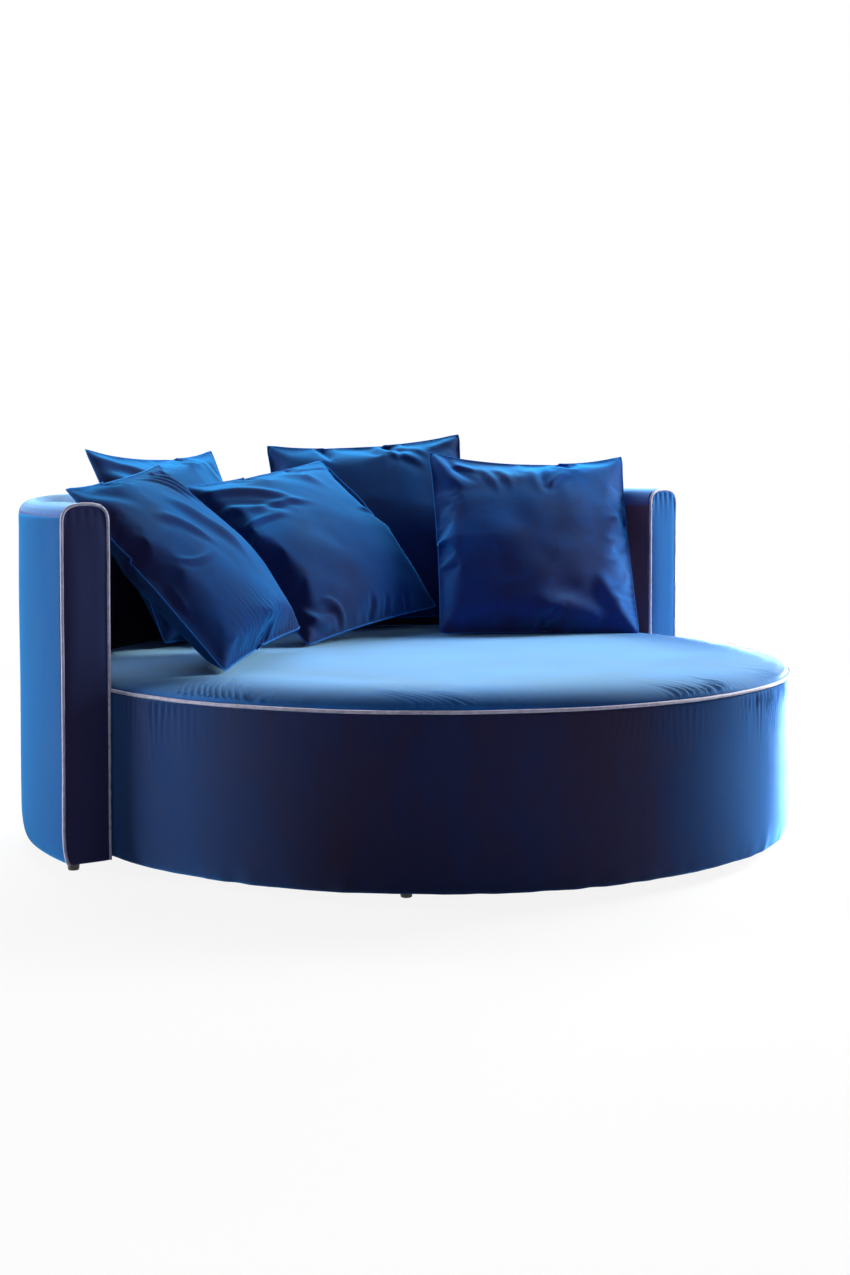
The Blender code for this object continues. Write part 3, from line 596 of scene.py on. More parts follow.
def corded_piping():
    """Satin-faced cotton over a cord: a pale grey mauve with a fine diagonal twill."""
    finish = Finish("piping_cotton", 0.55)
    shade = finish.noise(60.0, 3.0, 0.6)
    tones = [(0.3, (0.270, 0.260, 0.390)), (0.7, (0.470, 0.460, 0.620))]
    finish.set("Base Color", finish.ramp(shade, tones))
    twill = finish.wave(330.0, 0.6, finish.stretched((1, 1, 1), (40, 35, 45)), "DIAGONAL")
    finish.set("Normal", finish.bump(twill, 0.0003, 0.6, finish.bump(shade, 0.0006, 0.5)))
    finish.set("Roughness", finish.spread(shade, 0.48, 0.66))
    finish.set("Sheen Weight", 0.35)
    return finish.material


def plywood():
    finish = Finish("birch_plywood", 0.6)
    grain = finish.noise(9.0, 6.0, 1.2, finish.stretched((1, 1, 9)), 0.6)
    tones = [(0.35, (0.42, 0.27, 0.13)), (0.65, (0.66, 0.49, 0.30))]
    return finish.patterned(grain, tones, (0.5, 0.72), (0.0004, 0.5))


def foam():
    finish = Finish("upholstery_foam", 0.95)
    shade = finish.noise(5.0, 3.0)
    tones = [(0.35, (0.72, 0.62, 0.38)), (0.65, (0.84, 0.76, 0.52))]
    return finish.patterned(finish.cells(420.0), tones, (0.88, 0.98, 0.1, 0.6), (0.0008, 0.7), shade)


def webbing():
    finish = Finish("jute_webbing", 0.85)
    weave = finish.sum(finish.wave(110.0, 0.4), finish.wave(110.0, 0.4, direction="Y"), 1.0)
    tones = [(0.4, (0.10, 0.07, 0.04)), (1.0, (0.30, 0.21, 0.13))]
    return finish.patterned(weave, tones, (0.75, 0.92, 0.2, 1.8), (0.0005, 0.8))


def dust_cloth():
    finish = Finish("spunbond_cloth", 0.9)
    felt = finish.noise(260.0, 4.0, 0.8)
    tones = [(0.35, (0.010, 0.010, 0.012)), (0.7, (0.032, 0.032, 0.036))]
    return finish.patterned(felt, tones, (0.8, 0.95), (0.0004, 0.6))


def glide_plastic():
    finish = Finish("glide_plastic", 0.4)
    scuffs = finish.noise(120.0, 4.0, 0.5)
    tones = [(0.4, (0.010, 0.010, 0.011)), (0.75, (0.035, 0.034, 0.033))]
    return finish.patterned(scuffs, tones, (0.32, 0.6), (0.0002, 0.4))


def plate_steel():
    finish = Finish("zinc_plated_steel", 0.35, 1.0)
    wear = finish.noise(40.0, 3.0)
    tones = [(0.1, (0.45, 0.46, 0.48)), (0.6, (0.62, 0.62, 0.63))]
    return finish.patterned(finish.cells(90.0), tones, (0.28, 0.5), (0.0002, 0.3), wear=wear)


def blend(first, second, share):
    return tuple(a + (b - a) * share for a, b in zip(first, second))


def painted_light_roll_velvets():
    """The inner cover's velvet in steps from the painted shade of its wall to the painted light at the top
    of its roll.
    """
    made = []
    for step in range(1, ROLL_FADE_STEPS + 1):
        tones = [blend(*ends, step / ROLL_FADE_STEPS) for ends in PAINTED_SHADE_TO_LIGHT_FADES]
        made.append(velvet(f"velvet_roll_painted_light_{step}", *tones, 0.10, UPRIGHT))
    return made


PIPING = corded_piping()
GLIDE = glide_plastic()
# The seat's velvet is painted light, much lighter than the drum's and the back's
PAINTED_LIGHT_SEAT_VELVET = velvet("velvet_seat_painted_light", PAINTED_LIGHT_COBALT, PAINTED_LIGHT_AZURE, PALE_SHEEN, 0.10, ACROSS_THE_SEAT, edge=True)
# The drum's velvet is painted shade, darker than the same cloth on the back
PAINTED_SHADE_SIDE_VELVET = velvet("velvet_side_painted_shade", PAINTED_SHADE_INK, NAVY, DRUM_SHEEN, 0.05, ROUND_THE_DRUM)
BACK_VELVET = velvet("velvet_back", NAVY, ROYAL, BLUE_SHEEN, 0.05, UPRIGHT)
# The left end panel's velvet is painted shade, darker than the right panel's
PAINTED_SHADE_END_VELVET = velvet("velvet_end_painted_shade", SLATE, DUSK, BLUE_SHEEN, 0.05, UPRIGHT)
# The inner wall's velvet is painted shade, much darker than the rest of the cloth
PAINTED_SHADE_INNER_VELVET = velvet("velvet_inner_wall_painted_shade", PAINTED_SHADE_PLUM_BLACK, PAINTED_SHADE_PLUM, PAINTED_SHADE_SHEEN, 0.10, UPRIGHT)
# The seams' velvet is a painted highlight along the cushions' edges, lighter than the cushions
PAINTED_HIGHLIGHT_SEAM_VELVET = velvet("velvet_seam_painted_highlight", PAINTED_LIGHT_LAPIS, PAINTED_LIGHT_AZURE, BLUE_SHEEN, 0.10)
PAINTED_LIGHT_ROLL_VELVETS = painted_light_roll_velvets()


# Sections of the covers


def crown_height(radius):
    """The height of the seat, which rolls up from the piping and levels out towards the middle."""
    share = np.minimum(radius / SEAT_RADIUS, 1.0)
    return RIM_HEIGHT + (SEAT_TOP - RIM_HEIGHT) * (1 - share**CROWN_POWER) ** CROWN_ROUND


def hem_points(radius, turn_under):
    """The draw-in of a cover's lower end and its turn under the body."""
    angles = np.linspace(0, math.pi / 2, HEM_STEPS)
    inwards = radius - HEM_DRAW_IN * (1 - np.cos(angles))
    curve = np.stack([inwards, UNDERSIDE + HEM_CURVE * (1 - np.sin(angles))], -1)
    return np.vstack([curve, [[radius - HEM_DRAW_IN - turn_under, UNDERSIDE]]])


def arch_points(inside, outside, top):
    turns = np.linspace(0, math.pi, ARCH_STEPS + 1)
    half = (outside - inside) / 2
    across = np.copysign(np.abs(np.cos(turns)) ** (2 / ARCH_POWER), np.cos(turns))
    up = np.abs(np.sin(turns)) ** (2 / ARCH_POWER)
    return np.stack([inside + half - half * across, ARCH_SPRING + (top - ARCH_SPRING) * up], -1)


# Pieces of the drum and the back


def all_round():
    """Angles all the way round from the middle of the back, where the back hides the join."""
    return np.linspace(0, math.tau, ROUND_STEPS, endpoint=False)


def side_cover():
    """The velvet round the drum, gathered below the piping and a little slack at its hem."""
    path = np.vstack([[[DRUM_RADIUS, SIDE_TOP]], hem_points(DRUM_RADIUS, HEM_TURN_UNDER)])
    path = resampled(path, COVER_SPACING)
    angles = all_round()
    run = angles[:, None] * DRUM_RADIUS
    down = lengths_along(path)[None, :]
    gathered = SIDE_PLEAT_SHARE + humps(np.degrees(angles), SIDE_GATHERS)[:, None]
    lift = waves(run, down, *SIDE_WAVES) + gathered * gathers(run, down, *SIDE_PLEATS)
    lift = lift + smooth_step(*HEM_SLACK_ZONE, down) * waves(run, down, *HEM_WAVES)
    points = turned_points(angles, path, lift * smooth_step(-0.01, 0.02, down))
    faces = grid_faces(len(angles), len(path), wrap=True)
    cover = add_piece("side_cover", points, faces, PAINTED_SHADE_SIDE_VELVET, thickness=COVER)
    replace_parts(cover, "base_side_cover")


def seat_cover():
    """The velvet over the seat, which rolls down to the piping and is gathered there in groups."""
    rings = [np.linspace(*span) for span in SEAT_RINGS]
    radii = np.concatenate([rings[0], *(ring[1:] for ring in rings[1:])]) * SEAT_RADIUS
    angles = all_round()
    run = angles[:, None] * SEAT_RADIUS
    away = SEAT_RADIUS - radii
    x, y = radii * np.sin(angles)[:, None], radii * np.cos(angles)[:, None]
    rolls = waves(x, y, *SEAT_WAVES) * smooth_step(0.02, 0.12, away)
    upright = SEAT_PLEAT_SHARE + humps(np.degrees(angles), SEAT_UPRIGHT_GATHERS)[:, None]
    slanting = humps(np.degrees(angles), SEAT_SLANTING_GATHERS)[:, None]
    folds = upright * gathers(run, away, *SEAT_UPRIGHT_PLEATS, creased=True)
    folds = folds + slanting * gathers(run, away, *SEAT_SLANTING_PLEATS, creased=True)
    height = crown_height(radii) + rolls + folds
    points = np.stack([x, DRUM_Y + y, height], -1).reshape(-1, 3)
    faces = grid_faces(len(angles), len(radii), wrap=True).tolist()
    middle = np.array([[0, DRUM_Y, height[:, 0].mean()]])
    first = np.arange(len(angles)) * len(radii)
    faces += np.stack([np.roll(first, -1), first, np.full(len(angles), len(points))], -1).tolist()
    cover = add_piece("seat_top", np.vstack([points, middle]), faces, PAINTED_LIGHT_SEAT_VELVET, thickness=COVER)
    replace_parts(cover, "seat_cover")


def rim_piping():
    angles = all_round()
    run = angles * RIM_PIPING_RADIUS
    radius = RIM_PIPING_RADIUS + wander(run, *RIM_WANDER)
    height = RIM_HEIGHT + wander(run, *RIM_SWAY)
    path = np.stack([radius * np.sin(angles), DRUM_Y + radius * np.cos(angles), height], -1)
    radii = PIPING_RADIUS * (1 + wander(run, *CORD_UNEVENNESS))
    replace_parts(tube("rim_cord", path, radii, PIPING, closed=True), "seat_rim_piping")


def wrapped_angles(path, setback):
    """Rows of angles from end to end of the back, which stop a setback behind both end planes."""
    ends = BACK_END - np.arcsin(setback / path[:, 0])
    return np.linspace(-1, 1, WRAP_STEPS)[:, None] * ends[None, :]


def paint_light_and_shade_on_roll(wall):
    """Where the inner cover rolls over the top, it goes from the painted shade of the wall to painted light,
    in steps too small to see.
    """
    for material in PAINTED_LIGHT_ROLL_VELVETS:
        wall.data.materials.append(material)
    heights = np.array([face.center.z for face in wall.data.polygons])
    steps = np.ceil((heights - (BACK_TOP - ROLL_FADE_DEPTH)) / ROLL_FADE_DEPTH * len(PAINTED_LIGHT_ROLL_VELVETS))
    wall.data.polygons.foreach_set("material_index", np.clip(steps, 0, len(PAINTED_LIGHT_ROLL_VELVETS)).astype(int))


def back_wall(name, path, spacing, seam_at_end, material, node):
    """A cover of the back, gathered a little at the seam below the top."""
    path = resampled(path, spacing)
    angles = wrapped_angles(path, 2 * PIPING_RADIUS - PIPING_PROUD + GAP)
    run = angles * BACK_OUTER
    along = lengths_along(path)[None, :]
    to_seam = along[0, -1] - along if seam_at_end else along
    lift = waves(run, along, *BACK_WAVES) + gathers(run, to_seam, *BACK_PLEATS)
    points = turned_points(angles, path, lift * smooth_step(0, SEAM_FLAT, to_seam))
    wall = add_piece(name, points, grid_faces(len(angles), len(path)), material, thickness=COVER)
    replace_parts(wall, node)
    return wall


def back_covers():
    """The inner cover, over the top and down to the seam, and the outer one from the seam to the hem."""
    arch = arch_points(BACK_INNER, BACK_OUTER, BACK_TOP)
    seam = np.argmax((arch[:, 1] < BACK_SEAM) & (arch[:, 0] > (BACK_INNER + BACK_OUTER) / 2))
    inner = np.vstack([[[BACK_INNER, UNDERSIDE + COVER]], arch[: seam + 1]])
    outer = np.vstack([arch[seam:], hem_points(BACK_OUTER, HEM_TURN_UNDER)])
    # The inner cover: painted shade on its wall, fading to painted light over its roll
    paint_light_and_shade_on_roll(back_wall("back_inner_wall", inner, COVER_SPACING, True, PAINTED_SHADE_INNER_VELVET, "back_inner_cover"))
    back_wall("back_outer_wall", outer, OUTER_SPACING, False, BACK_VELVET, "back_outer_cover")


def in_end_plane(side, across, up, forward):
    """Points at one end plane of the back: outwards from the drum's axis, up, and forwards."""
    sine, cosine = math.sin(BACK_END), math.cos(BACK_END)
    outward, ahead = np.array([side * sine, cosine, 0]), np.array([side * cosine, -sine, 0])
    level = np.array([0, DRUM_Y, 0]) + outward * across[..., None]
    return level + np.array([0, 0, 1]) * up[..., None] + ahead * forward[..., None]


def end_panels():
    """The arched panels at the back's two ends, swelled by the filling and pleated below the arch."""
    inner = BACK_INNER + 2 * PIPING_RADIUS + GAP
    outer = BACK_OUTER + PIPING_PROUD - 2 * PIPING_RADIUS - GAP
    top = BACK_TOP + PIPING_PROUD - 2 * PIPING_RADIUS - GAP
    arch = arch_points(inner, outer, top)
    shares = (1 - np.cos(np.linspace(0, math.pi, PANEL_COLUMNS))) / 2
    heads = np.interp(inner + (outer - inner) * shares, arch[:, 0], arch[:, 1])
    up = UNDERSIDE + np.linspace(0, 1, PANEL_ROWS)[:, None] * (heads[None, :] - UNDERSIDE)
    below = heads[None, :] - up
    hem = hem_points(outer, 0)[::-1]
    outside = np.interp(up, hem[:, 1], hem[:, 0], right=outer)
    across = inner + (outside - inner) * shares[None, :]
    swell = PANEL_SWELL * (1 - (2 * shares[None, :] - 1) ** 4) * smooth_step(0, PANEL_TOP_ZONE, below)
    turns = math.tau * (across - inner) / PANEL_PLEAT_SPACING + wander(across, *PANEL_PLEAT_WANDER)
    fade = np.exp(-((below / PANEL_PLEAT_REACH) ** 1.5)) * smooth_step(0, PANEL_SEAM_FLAT, below)
    pleats = np.cos(turns) * fade
    faces = grid_faces(PANEL_ROWS, PANEL_COLUMNS)
    for side, label in SIDES:
        raised = PANEL_PLEAT_DEPTHS[label] * (0.5 + 0.5 * pleats) * np.exp(-below / PANEL_TOP_ZONE)
        depth = swell + waves(across, up, *PANEL_WAVES, PANEL_SEED + side) + raised
        points = in_end_plane(side, across, up, depth)
        # The left panel gets the darker velvet, which is painted shade
        material = PAINTED_SHADE_END_VELVET if label == "left" else BACK_VELVET
        outwards = faces if label == "left" else faces[:, ::-1]
        panel = add_piece(f"end_panel_{label}", points, outwards, material, thickness=COVER)
        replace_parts(panel, f"back_end_cover_{label}")


def end_pipings():
    """The cords round the end panels, from the underside, over the top, to the hem outside."""
    inner = BACK_INNER + PIPING_RADIUS
    outer = BACK_OUTER + PIPING_PROUD - PIPING_RADIUS
    path = arch_points(inner, outer, BACK_TOP + PIPING_PROUD - PIPING_RADIUS)
    path = np.vstack([[[inner, UNDERSIDE]], path, hem_points(outer, 0)[:-1]])
    path = resampled(path, COVER_SPACING)
    run = lengths_along(path)
    normals = path_normals(path)
    radii = PIPING_RADIUS * (1 + wander(run, *END_CORD_UNEVENNESS))
    for side, label in SIDES:
        moved = path + normals * wander(run, *END_WANDER[:2], END_WANDER[2] + side)[:, None]
        forward = PIPING_PROUD - PIPING_RADIUS + wander(run, *END_SWAY[:2], END_SWAY[2] + side)
        points = in_end_plane(side, moved[:, 0], moved[:, 1], forward)
        cord = tube(f"end_cord_{label}", points, radii, PIPING)
        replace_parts(cord, f"back_end_piping_{label}")


def glides():
    """Smooth turned glides with a softened foot."""
    for name in sorted(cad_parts):
        if "glide" not in name:
            continue
        low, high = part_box(name)
        centre = (low + high) / 2
        wide = (high.x - low.x) / 2
        foot = wide * GLIDE_FOOT_SHARE - GLIDE_EDGE
        turns = np.linspace(0, math.pi / 2, GLIDE_EDGE_STEPS)
        rounded = np.stack([foot + GLIDE_EDGE * np.sin(turns), GLIDE_EDGE * (1 - np.cos(turns))], -1)
        path = np.vstack([rounded, [[wide, high.z]]])
        angles = np.linspace(0, math.tau, GLIDE_SIDES, endpoint=False)[:, None]
        x, y = centre.x + path[:, 0] * np.cos(angles), centre.y + path[:, 0] * np.sin(angles)
        points = np.stack([x, y, np.broadcast_to(path[:, 1], x.shape)], -1)
        index = np.arange(x.size).reshape(x.shape)
        faces = grid_faces(*x.shape, wrap=True).tolist()
        faces += [index[::-1, 0].tolist(), index[:, -1].tolist()]
        glide = add_piece(f"{name}_turned", points, faces, GLIDE)
        glide.data.set_sharp_from_angle(angle=GLIDE_SHARP_ANGLE)
        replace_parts(glide, name)


# Cushions


def shares_across(count):
    """Two grids of shares from -1 to 1, to the right and up."""
    line = np.linspace(-1, 1, count)
    return np.meshgrid(line, line, indexing="ij")


def inset_share(count):
    """How far in from the nearest edge each point of a grid lies, in shares of half a side."""
    s, t = shares_across(count)
    return 1 - np.maximum(np.abs(s), np.abs(t))


def sheet_grids(side, front_lift, rear_lift):
    """The front and rear sheet of a square cushion, which share their border, as two grids of points."""
    s, t = shares_across(CUSHION_CELLS + 1)
    return [np.stack([s * side / 2, lift, t * side / 2], -1) for lift in (-front_lift, rear_lift)]


def sewn(front, rear):
    """A closed mesh from two grids with a shared border: points, faces and both grids' point numbers."""
    rows, columns = front.shape[:2]
    inside = np.zeros((rows, columns), bool)
    inside[1:-1, 1:-1] = True
    front_index = np.arange(rows * columns).reshape(rows, columns)
    rear_index = front_index.copy()
    rear_index[inside] = rows * columns + np.arange(inside.sum())
    points = np.vstack([front.reshape(-1, 3), rear[inside]])
    faces = grid_faces(rows, columns)
    faces = np.vstack([faces, rear_index.reshape(-1)[faces][:, ::-1]])
    return points, faces, front_index, rear_index


def blown_up(seed):
    """Two square sheets sewn along their edges and filled to a volume by cloth pressure."""
    s, t = shares_across(CUSHION_CELLS + 1)
    dome = (1 - s**2) * (1 - t**2)
    uneven = [waves(s, t, *CUSHION_UNEVENNESS, sheet_seed, 5) for sheet_seed in (seed, seed + 50)]
    lifts = [dome * (CUSHION_START + rise) for rise in uneven]
    points, faces, front_index, rear_index = sewn(*sheet_grids(CUSHION_FLAT, *lifts))
    mesh = bpy.data.meshes.new("cushion_cloth")
    mesh.from_pydata(points.tolist(), [], faces.tolist())
    cushion = linked(bpy.data.objects.new("cushion_cloth", mesh))
    modifier = cushion.modifiers.new("Cloth", "CLOTH")
    cloth = modifier.settings
    cloth.quality = 5
    cloth.mass = 0.3
    cloth.tension_stiffness = cloth.compression_stiffness = 40
    cloth.shear_stiffness = 13
    cloth.bending_stiffness = 3
    cloth.tension_damping = cloth.compression_damping = cloth.shear_damping = 25
    cloth.air_damping = 6
    cloth.use_pressure = True
    cloth.use_pressure_volume = True
    cloth.uniform_pressure_force = 0.5
    cloth.target_volume = CUSHION_FILL / 2
    cloth.pressure_factor = 14
    cloth.effector_weights.gravity = 0
    modifier.point_cache.frame_start = 1
    modifier.point_cache.frame_end = SIMULATION_FRAMES
    for number in range(1, SIMULATION_FRAMES + 1):
        bpy.context.scene.frame_set(number)
    evaluated = cushion.evaluated_get(bpy.context.evaluated_depsgraph_get())
    shape = evaluated.to_mesh()
    points = np.array([vert.co for vert in shape.vertices])
    evaluated.to_mesh_clear()
    bpy.data.objects.remove(cushion)
    bpy.context.scene.frame_set(1)
    return points[front_index], points[rear_index]


def doubled(grid):
    """A grid with a point added between each two, on a smooth curve through its neighbours."""
    for _ in range(2):
        middle = (grid[:-1] + grid[1:]) / 2
        middle[1:-1] = (9 * (grid[1:-2] + grid[2:-1]) - (grid[:-3] + grid[3:])) / 16
        fine = np.empty((2 * len(grid) - 1, *grid.shape[1:]))
        fine[::2], fine[1::2] = grid, middle
        grid = fine.swapaxes(0, 1)
    return grid


def squared(front, rear, draws):
    """Move both sheets so that their border is a square with blunt corners, whose upper ones stick out, and
    whose sides draw in between them. The filling sinks, so the lower half is fuller."""
    line = np.linspace(-1, 1, len(front))
    left, right, lower, upper = (CUSHION_SIDE / 2 * (1 - share * (1 - line**2) ** 0.8) for share in draws)
    low, high = ((1 - line) / 2) ** 1.6, ((1 + line) / 2) ** 1.6
    s, t = shares_across(len(front))
    reach = np.abs(s) + np.abs(t)
    ear = CORNER_EAR_SHARE * np.clip((reach - 1.6) / 0.4, 0, 1) ** 2 * smooth_step(-0.5, 0.5, t)
    corner = 1 + ear - CORNER_BLUNT_SHARE * np.clip((reach - 1.90) / 0.10, 0, 1) ** 1.5
    for sheet in (front, rear):
        sheet[..., 0] += low[:, None] * (-left - sheet[0, :, 0]) + high[:, None] * (right - sheet[-1, :, 0])
        sheet[..., 2] += low * (-lower - sheet[:, 0, 2])[:, None] + high * (upper - sheet[:, -1, 2])[:, None]
        sheet[..., 0] *= corner
        sheet[..., 2] *= corner
        sheet[..., 1] *= CUSHION_FULLNESS * (1 - CUSHION_SAG * t)


def fold(s, t, start, end, bow, width, height):
    """The height of a soft ridge along a bowed line, with a shallow valley on one side of it."""
    along = np.subtract(end, start)
    length = np.hypot(*along)
    along = along / length
    share = ((s - start[0]) * along[0] + (t - start[1]) * along[1]) / length
    aside = (t - start[1]) * along[0] - (s - start[0]) * along[1] - 4 * bow * share * (1 - share)
    aside = aside * CUSHION_SIDE / 2 / width
    taper = smooth_step(-0.15, 0.25, share) * smooth_step(1.20, 0.60, share)
    return height * taper * (np.exp(-(aside**2)) - 0.5 * np.exp(-(((aside + 1.6) / 1.1) ** 2)))


def edge_gathers(s, t, seed, edge, start, end, *pleats):
    """A row of gathers along one edge, drawn in below the cloth around them."""
    along, away = {"right": (t, 1 - s), "lower": (s, 1 + t)}[edge]
    row = humps(along, [((start + end) / 2, (end - start) / 2)])
    along, away = along * CUSHION_SIDE / 2, away * CUSHION_SIDE / 2
    return -row * gathers(along, away, *pleats, seed, CUSHION_GATHER_SLANT)


def folded(front, label, seed):
    """Raise the folds and gathers of a cushion's front sheet."""
    s, t = shares_across(len(front))
    height = sum(fold(s, t, *line) for line in CUSHION_FOLDS[label])
    height = height + sum(edge_gathers(s, t, seed, *row) for row in CUSHION_GATHERS[label])
    height = height + CUSHION_GRAIN * value_noise(s * 5, t * 5, seed + 7)
    front[..., 1] -= height * smooth_step(0, 0.035, inset_share(len(front)))


def cushion_place(name, turns):
    facing, lean, turn = (math.radians(angle) for angle in turns)
    low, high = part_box(f"{name}_cover")
    place = Matrix.Translation((low + high) / 2) @ Matrix.Rotation(-facing, 4, "Z")
    return np.array(place @ Matrix.Rotation(-lean, 4, "X") @ Matrix.Rotation(-turn, 4, "Y"))


def clear_of_sofa(points):
    """Points moved out of the seat and out of the back."""
    moved = points.copy()
    radius = np.hypot(points[..., 0], points[..., 1] - DRUM_Y)
    floor = np.where(radius < SEAT_RADIUS, crown_height(radius) + 2 * GAP, -1)
    moved[..., 2] = np.maximum(points[..., 2], floor)
    arch = arch_points(BACK_INNER, BACK_OUTER, BACK_TOP)
    inside = arch[: ARCH_STEPS // 2 + 1]
    wall = np.interp(moved[..., 2], inside[:, 1], inside[:, 0], left=BACK_INNER, right=FAR) - 2 * GAP
    top = np.interp(radius, arch[:, 0], arch[:, 1], left=-1, right=-1) + 2 * GAP
    inwards, upwards = radius - wall, top - moved[..., 2]
    hit = (inwards > 0) & (upwards > 0) & (radius < BACK_OUTER)
    inward_move = hit & (inwards <= upwards)
    scale = np.where(inward_move, wall / np.maximum(radius, GAP), 1.0)
    moved[..., 0] *= scale
    moved[..., 1] = DRUM_Y + (moved[..., 1] - DRUM_Y) * scale
    moved[..., 2] = np.where(hit & ~inward_move, top, moved[..., 2])
    return moved


def spread_apart(front, rear, ahead, least):
    """The front sheet, at least a given thickness ahead of the rear one."""
    short = least - (front - rear) @ ahead
    return front + np.maximum(short, 0)[..., None] * ahead


def ahead_of(front, rear, ahead, least, neighbour):
    """A cushion's two sheets, moved ahead of a neighbour where they run into it."""
    tree, low, high = neighbour
    front, rear = front.copy(), rear.copy()
    near = (np.maximum(front, rear) > low).all(-1) & (np.minimum(front, rear) < high).all(-1)
    direction = Vector(ahead)
    for place in zip(*np.nonzero(near)):
        here = Vector(front[place])
        _, normal, _, out = tree.ray_cast(here, direction, CUSHION_SIDE)
        if normal is not None and normal.dot(direction) > 0:
            rear[place] = here + direction * (out + 2 * GAP)
        else:
            through = Vector(rear[place]) - here
            if through.length > GAP:
                _, normal, _, run = tree.ray_cast(here, through, through.length)
                if normal is not None:
                    rear[place] = here + through.normalized() * max(run - 2 * GAP, 0)
    return spread_apart(front, rear, ahead, least), rear


def eased(front, rear, fixed_front, fixed_rear):
    """Spread the moves that cleared a cushion's neighbours into the cloth around them."""
    results = []
    for before, after in ((front, fixed_front), (rear, fixed_rear)):
        need = after - before
        move = need.copy()
        hit = np.linalg.norm(need, axis=-1) > GAP / 10
        for _ in range(EASING_ROUNDS):
            padded = np.pad(move, ((1, 1), (1, 1), (0, 0)), mode="edge")
            mean = (padded[:-2, 1:-1] + padded[2:, 1:-1] + padded[1:-1, :-2] + padded[1:-1, 2:]) / 4
            move = np.where(hit[..., None], need, mean)
        results.append(before + move)
    border = (results[0] + results[1]) / 2
    for result in results:
        for edge in ((0, slice(None)), (-1, slice(None)), (slice(None), 0), (slice(None), -1)):
            result[edge] = border[edge]
    return results


def cleared(front, rear, ahead, neighbours):
    """Both sheets, pushed out of the sofa and the cushions behind."""
    least = CUSHION_LEAST * smooth_step(0, 0.2, inset_share(len(front)))
    for _ in range(CLEARING_ROUNDS):
        clear_front, clear_rear = front, rear
        for neighbour in neighbours:
            clear_front, clear_rear = ahead_of(clear_front, clear_rear, ahead, least, neighbour)
        clear_front, clear_rear = clear_of_sofa(clear_front), clear_of_sofa(clear_rear)
        front, rear = eased(front, rear, clear_front, clear_rear)
        front = spread_apart(front, rear, ahead, least)
    return front, rear


def border_of(front):
    """The cushion's outline as one loop of points."""
    return np.vstack([front[:-1, 0], front[-1, :-1], front[:0:-1, -1], front[0, :0:-1]])


def cushions():
    """Each cushion is filled, folded, placed and cleared of what is there, from the rear forwards."""
    neighbours = []
    fills = [[doubled(sheet) for sheet in blown_up(seed)] for seed in (FIRST_SEED, FIRST_SEED + 1)]
    for number, (label, draws) in enumerate(EDGE_DRAW_SHARES.items()):
        name = f"cushion_{label}"
        front, rear = (sheet.copy() for sheet in fills[number % 2])
        if number >= FIRST_MIRRORED:
            front, rear = (sheet[::-1] * (-1, 1, 1) for sheet in (front, rear))
        squared(front, rear, draws)
        folded(front, label, FIRST_SEED + number)
        place = cushion_place(name, CUSHION_TURNS[label])
        front, rear = (sheet @ place[:3, :3].T + place[:3, 3] for sheet in (front, rear))
        front, rear = cleared(front, rear, -place[:3, 1], neighbours)
        points, faces, _, _ = sewn(front, rear)
        # The cushion's velvet carries its painted light and shade
        weight, dark, light = CUSHION_PAINTED_LIGHT_AND_SHADE[label]
        material = velvet(f"velvet_{name}", dark, light, BLUE_SHEEN, 0.0, sheen_weight=weight)
        cushion = add_piece(name, points, faces.tolist(), material, name)
        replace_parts(cushion, f"{name}_cover", f"{name}_pad")
        # The seam carries a painted highlight along the cushion's edge
        seam = tube(f"{name}_seam", border_of(front), SEAM_RADIUS, PAINTED_HIGHLIGHT_SEAM_VELVET, name, closed=True)
        seam.parent = cushion
        tree = BVHTree.FromPolygons(points.tolist(), faces.tolist())
        neighbours.append((tree, points.min(0), points.max(0)))


# Carried-over inner nodes


def finish_frame_nodes():
    """A node takes the material of the first of these words that is in its name, or else it is wood."""
    wood, soft = plywood(), foam()
    materials = {
        "foam": soft,
        "_pad": soft,
        "strap": webbing(),
        "dust": dust_cloth(),
        "bottom": wood,
        "plate": plate_steel(),
        "cover": PAINTED_SHADE_SIDE_VELVET,
        "piping": PIPING,
        "glide": GLIDE,
    }
    for name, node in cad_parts.items():
        node.data.materials.clear()
        node.data.materials.append(next((made for word, made in materials.items() if word in name), wood))


# Camera and studio


def camera():
    """The photograph's view, which looks down and to the right of straight back."""
    down, to_right = 3.028, 40.983
    data = bpy.data.cameras.new("camera")
    data.sensor_width = 36
    data.lens = 56.97
    data.shift_y = -0.0729
    view = linked(bpy.data.objects.new("camera", data))
    view.location = (-3.2099, -3.7301, 0.9471)
    view.rotation_euler = (math.radians(90 - down), 0, math.radians(-to_right))
    bpy.context.scene.camera = view


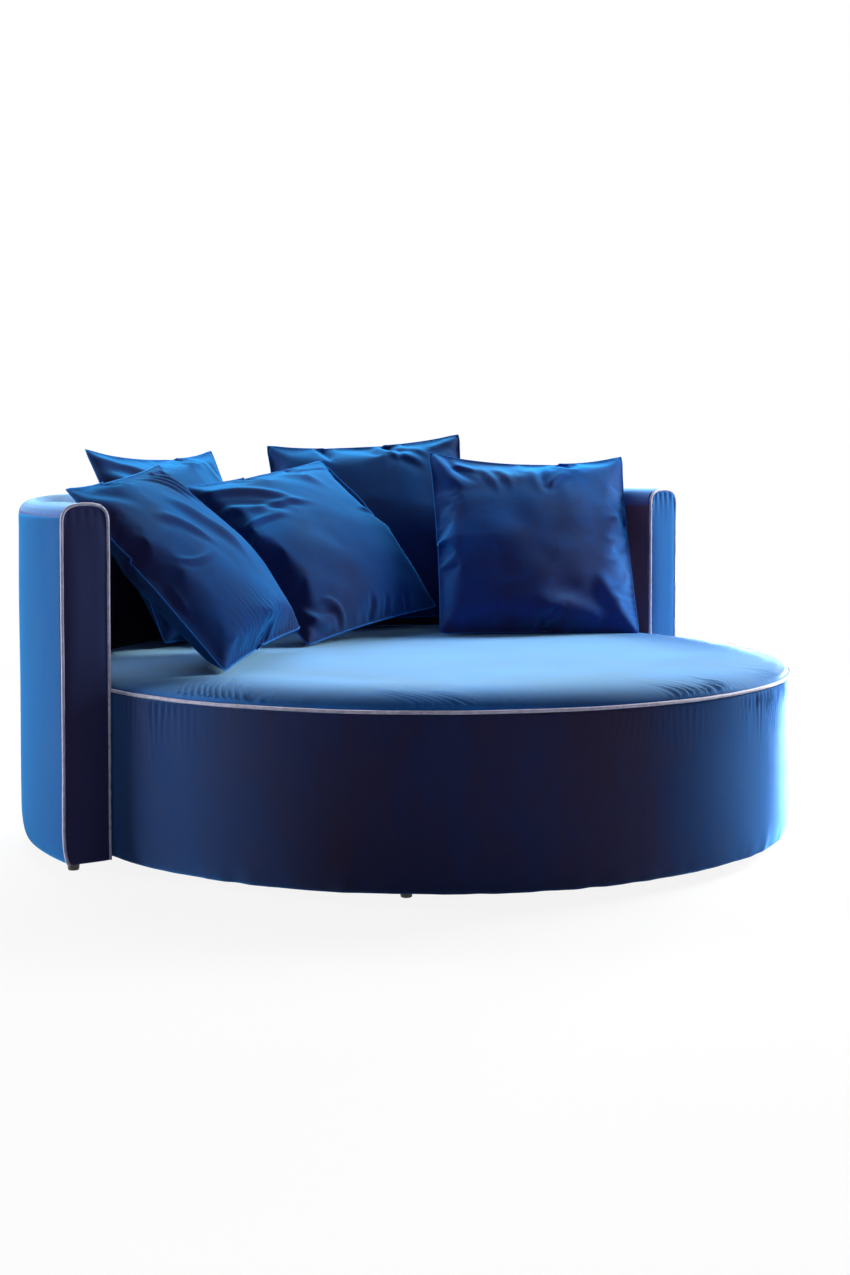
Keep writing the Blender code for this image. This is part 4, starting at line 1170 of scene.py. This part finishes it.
def lamps():
    for name, (place, aim, size, watts, spread) in LAMPS.items():
        data = bpy.data.lights.new(name, "AREA")
        data.shape = "RECTANGLE"
        data.size, data.size_y = size
        data.energy = watts
        data.spread = math.radians(spread)
        lamp = linked(bpy.data.objects.new(name, data))
        lamp.location = place
        lamp.rotation_euler = (Vector(aim) - Vector(place)).to_track_quat("-Z", "Y").to_euler()


def background_rays(tree):
    """1 for camera, glossy and transmission rays, which see the plain background."""
    rays = add_node(tree, "LightPath", {}).outputs
    value = rays["Is Camera Ray"]
    for other in ("Is Glossy Ray", "Is Transmission Ray"):
        value = add_node(tree, "Math", {0: value, 1: rays[other]}, operation="MAXIMUM").outputs["Value"]
    return value


def surface_mix(tree, output, share, first, second):
    """Feed an output node from two shaders, with a share of the second."""
    mix = add_node(tree, "MixShader", {"Fac": share, 1: first.outputs[0], 2: second.outputs[0]})
    feed(tree, tree.nodes[output].inputs["Surface"], mix.outputs[0])


def background():
    world = bpy.data.worlds.new("studio")
    bpy.context.scene.world = world
    world.use_nodes = True
    tree = world.node_tree
    room = tree.nodes["Background"]
    room.inputs["Color"].default_value = (0.12, 0.11, 0.13, 1)
    white = add_node(tree, "Background", {"Color": (1, 1, 1, 1)})
    surface_mix(tree, "World Output", background_rays(tree), room, white)


def floor():
    """A pale floor, which keeps the sofa's shadow."""
    mesh = bpy.data.meshes.new("floor")
    corners = [(x * FLOOR_HALF, y * FLOOR_HALF, 0) for x, y in ((-1, -1), (1, -1), (1, 1), (-1, 1))]
    mesh.from_pydata(corners, [], [(0, 1, 2, 3)])
    plane = linked(bpy.data.objects.new("floor", mesh))
    finish = Finish("studio_floor", 0.9)
    finish.set("Base Color", (0.80, 0.80, 0.80, 1))
    finish.set("Specular IOR Level", 0.0)
    away = finish.length(finish.place)
    fade = finish.spread(away, *FADE_SHARES, *FADE_RADII, interpolation_type="SMOOTHSTEP")
    share = finish.product(background_rays(finish.tree), fade)
    surface_mix(finish.tree, "Material Output", share, finish.shader, finish.add("Emission", {}))
    mesh.materials.append(finish.material)


camera()
finish_frame_nodes()
side_cover()
seat_cover()
rim_piping()
back_covers()
end_panels()
end_pipings()
glides()
cushions()
lamps()
background()
floor()
bpy.context.scene.view_settings.view_transform = "Standard"
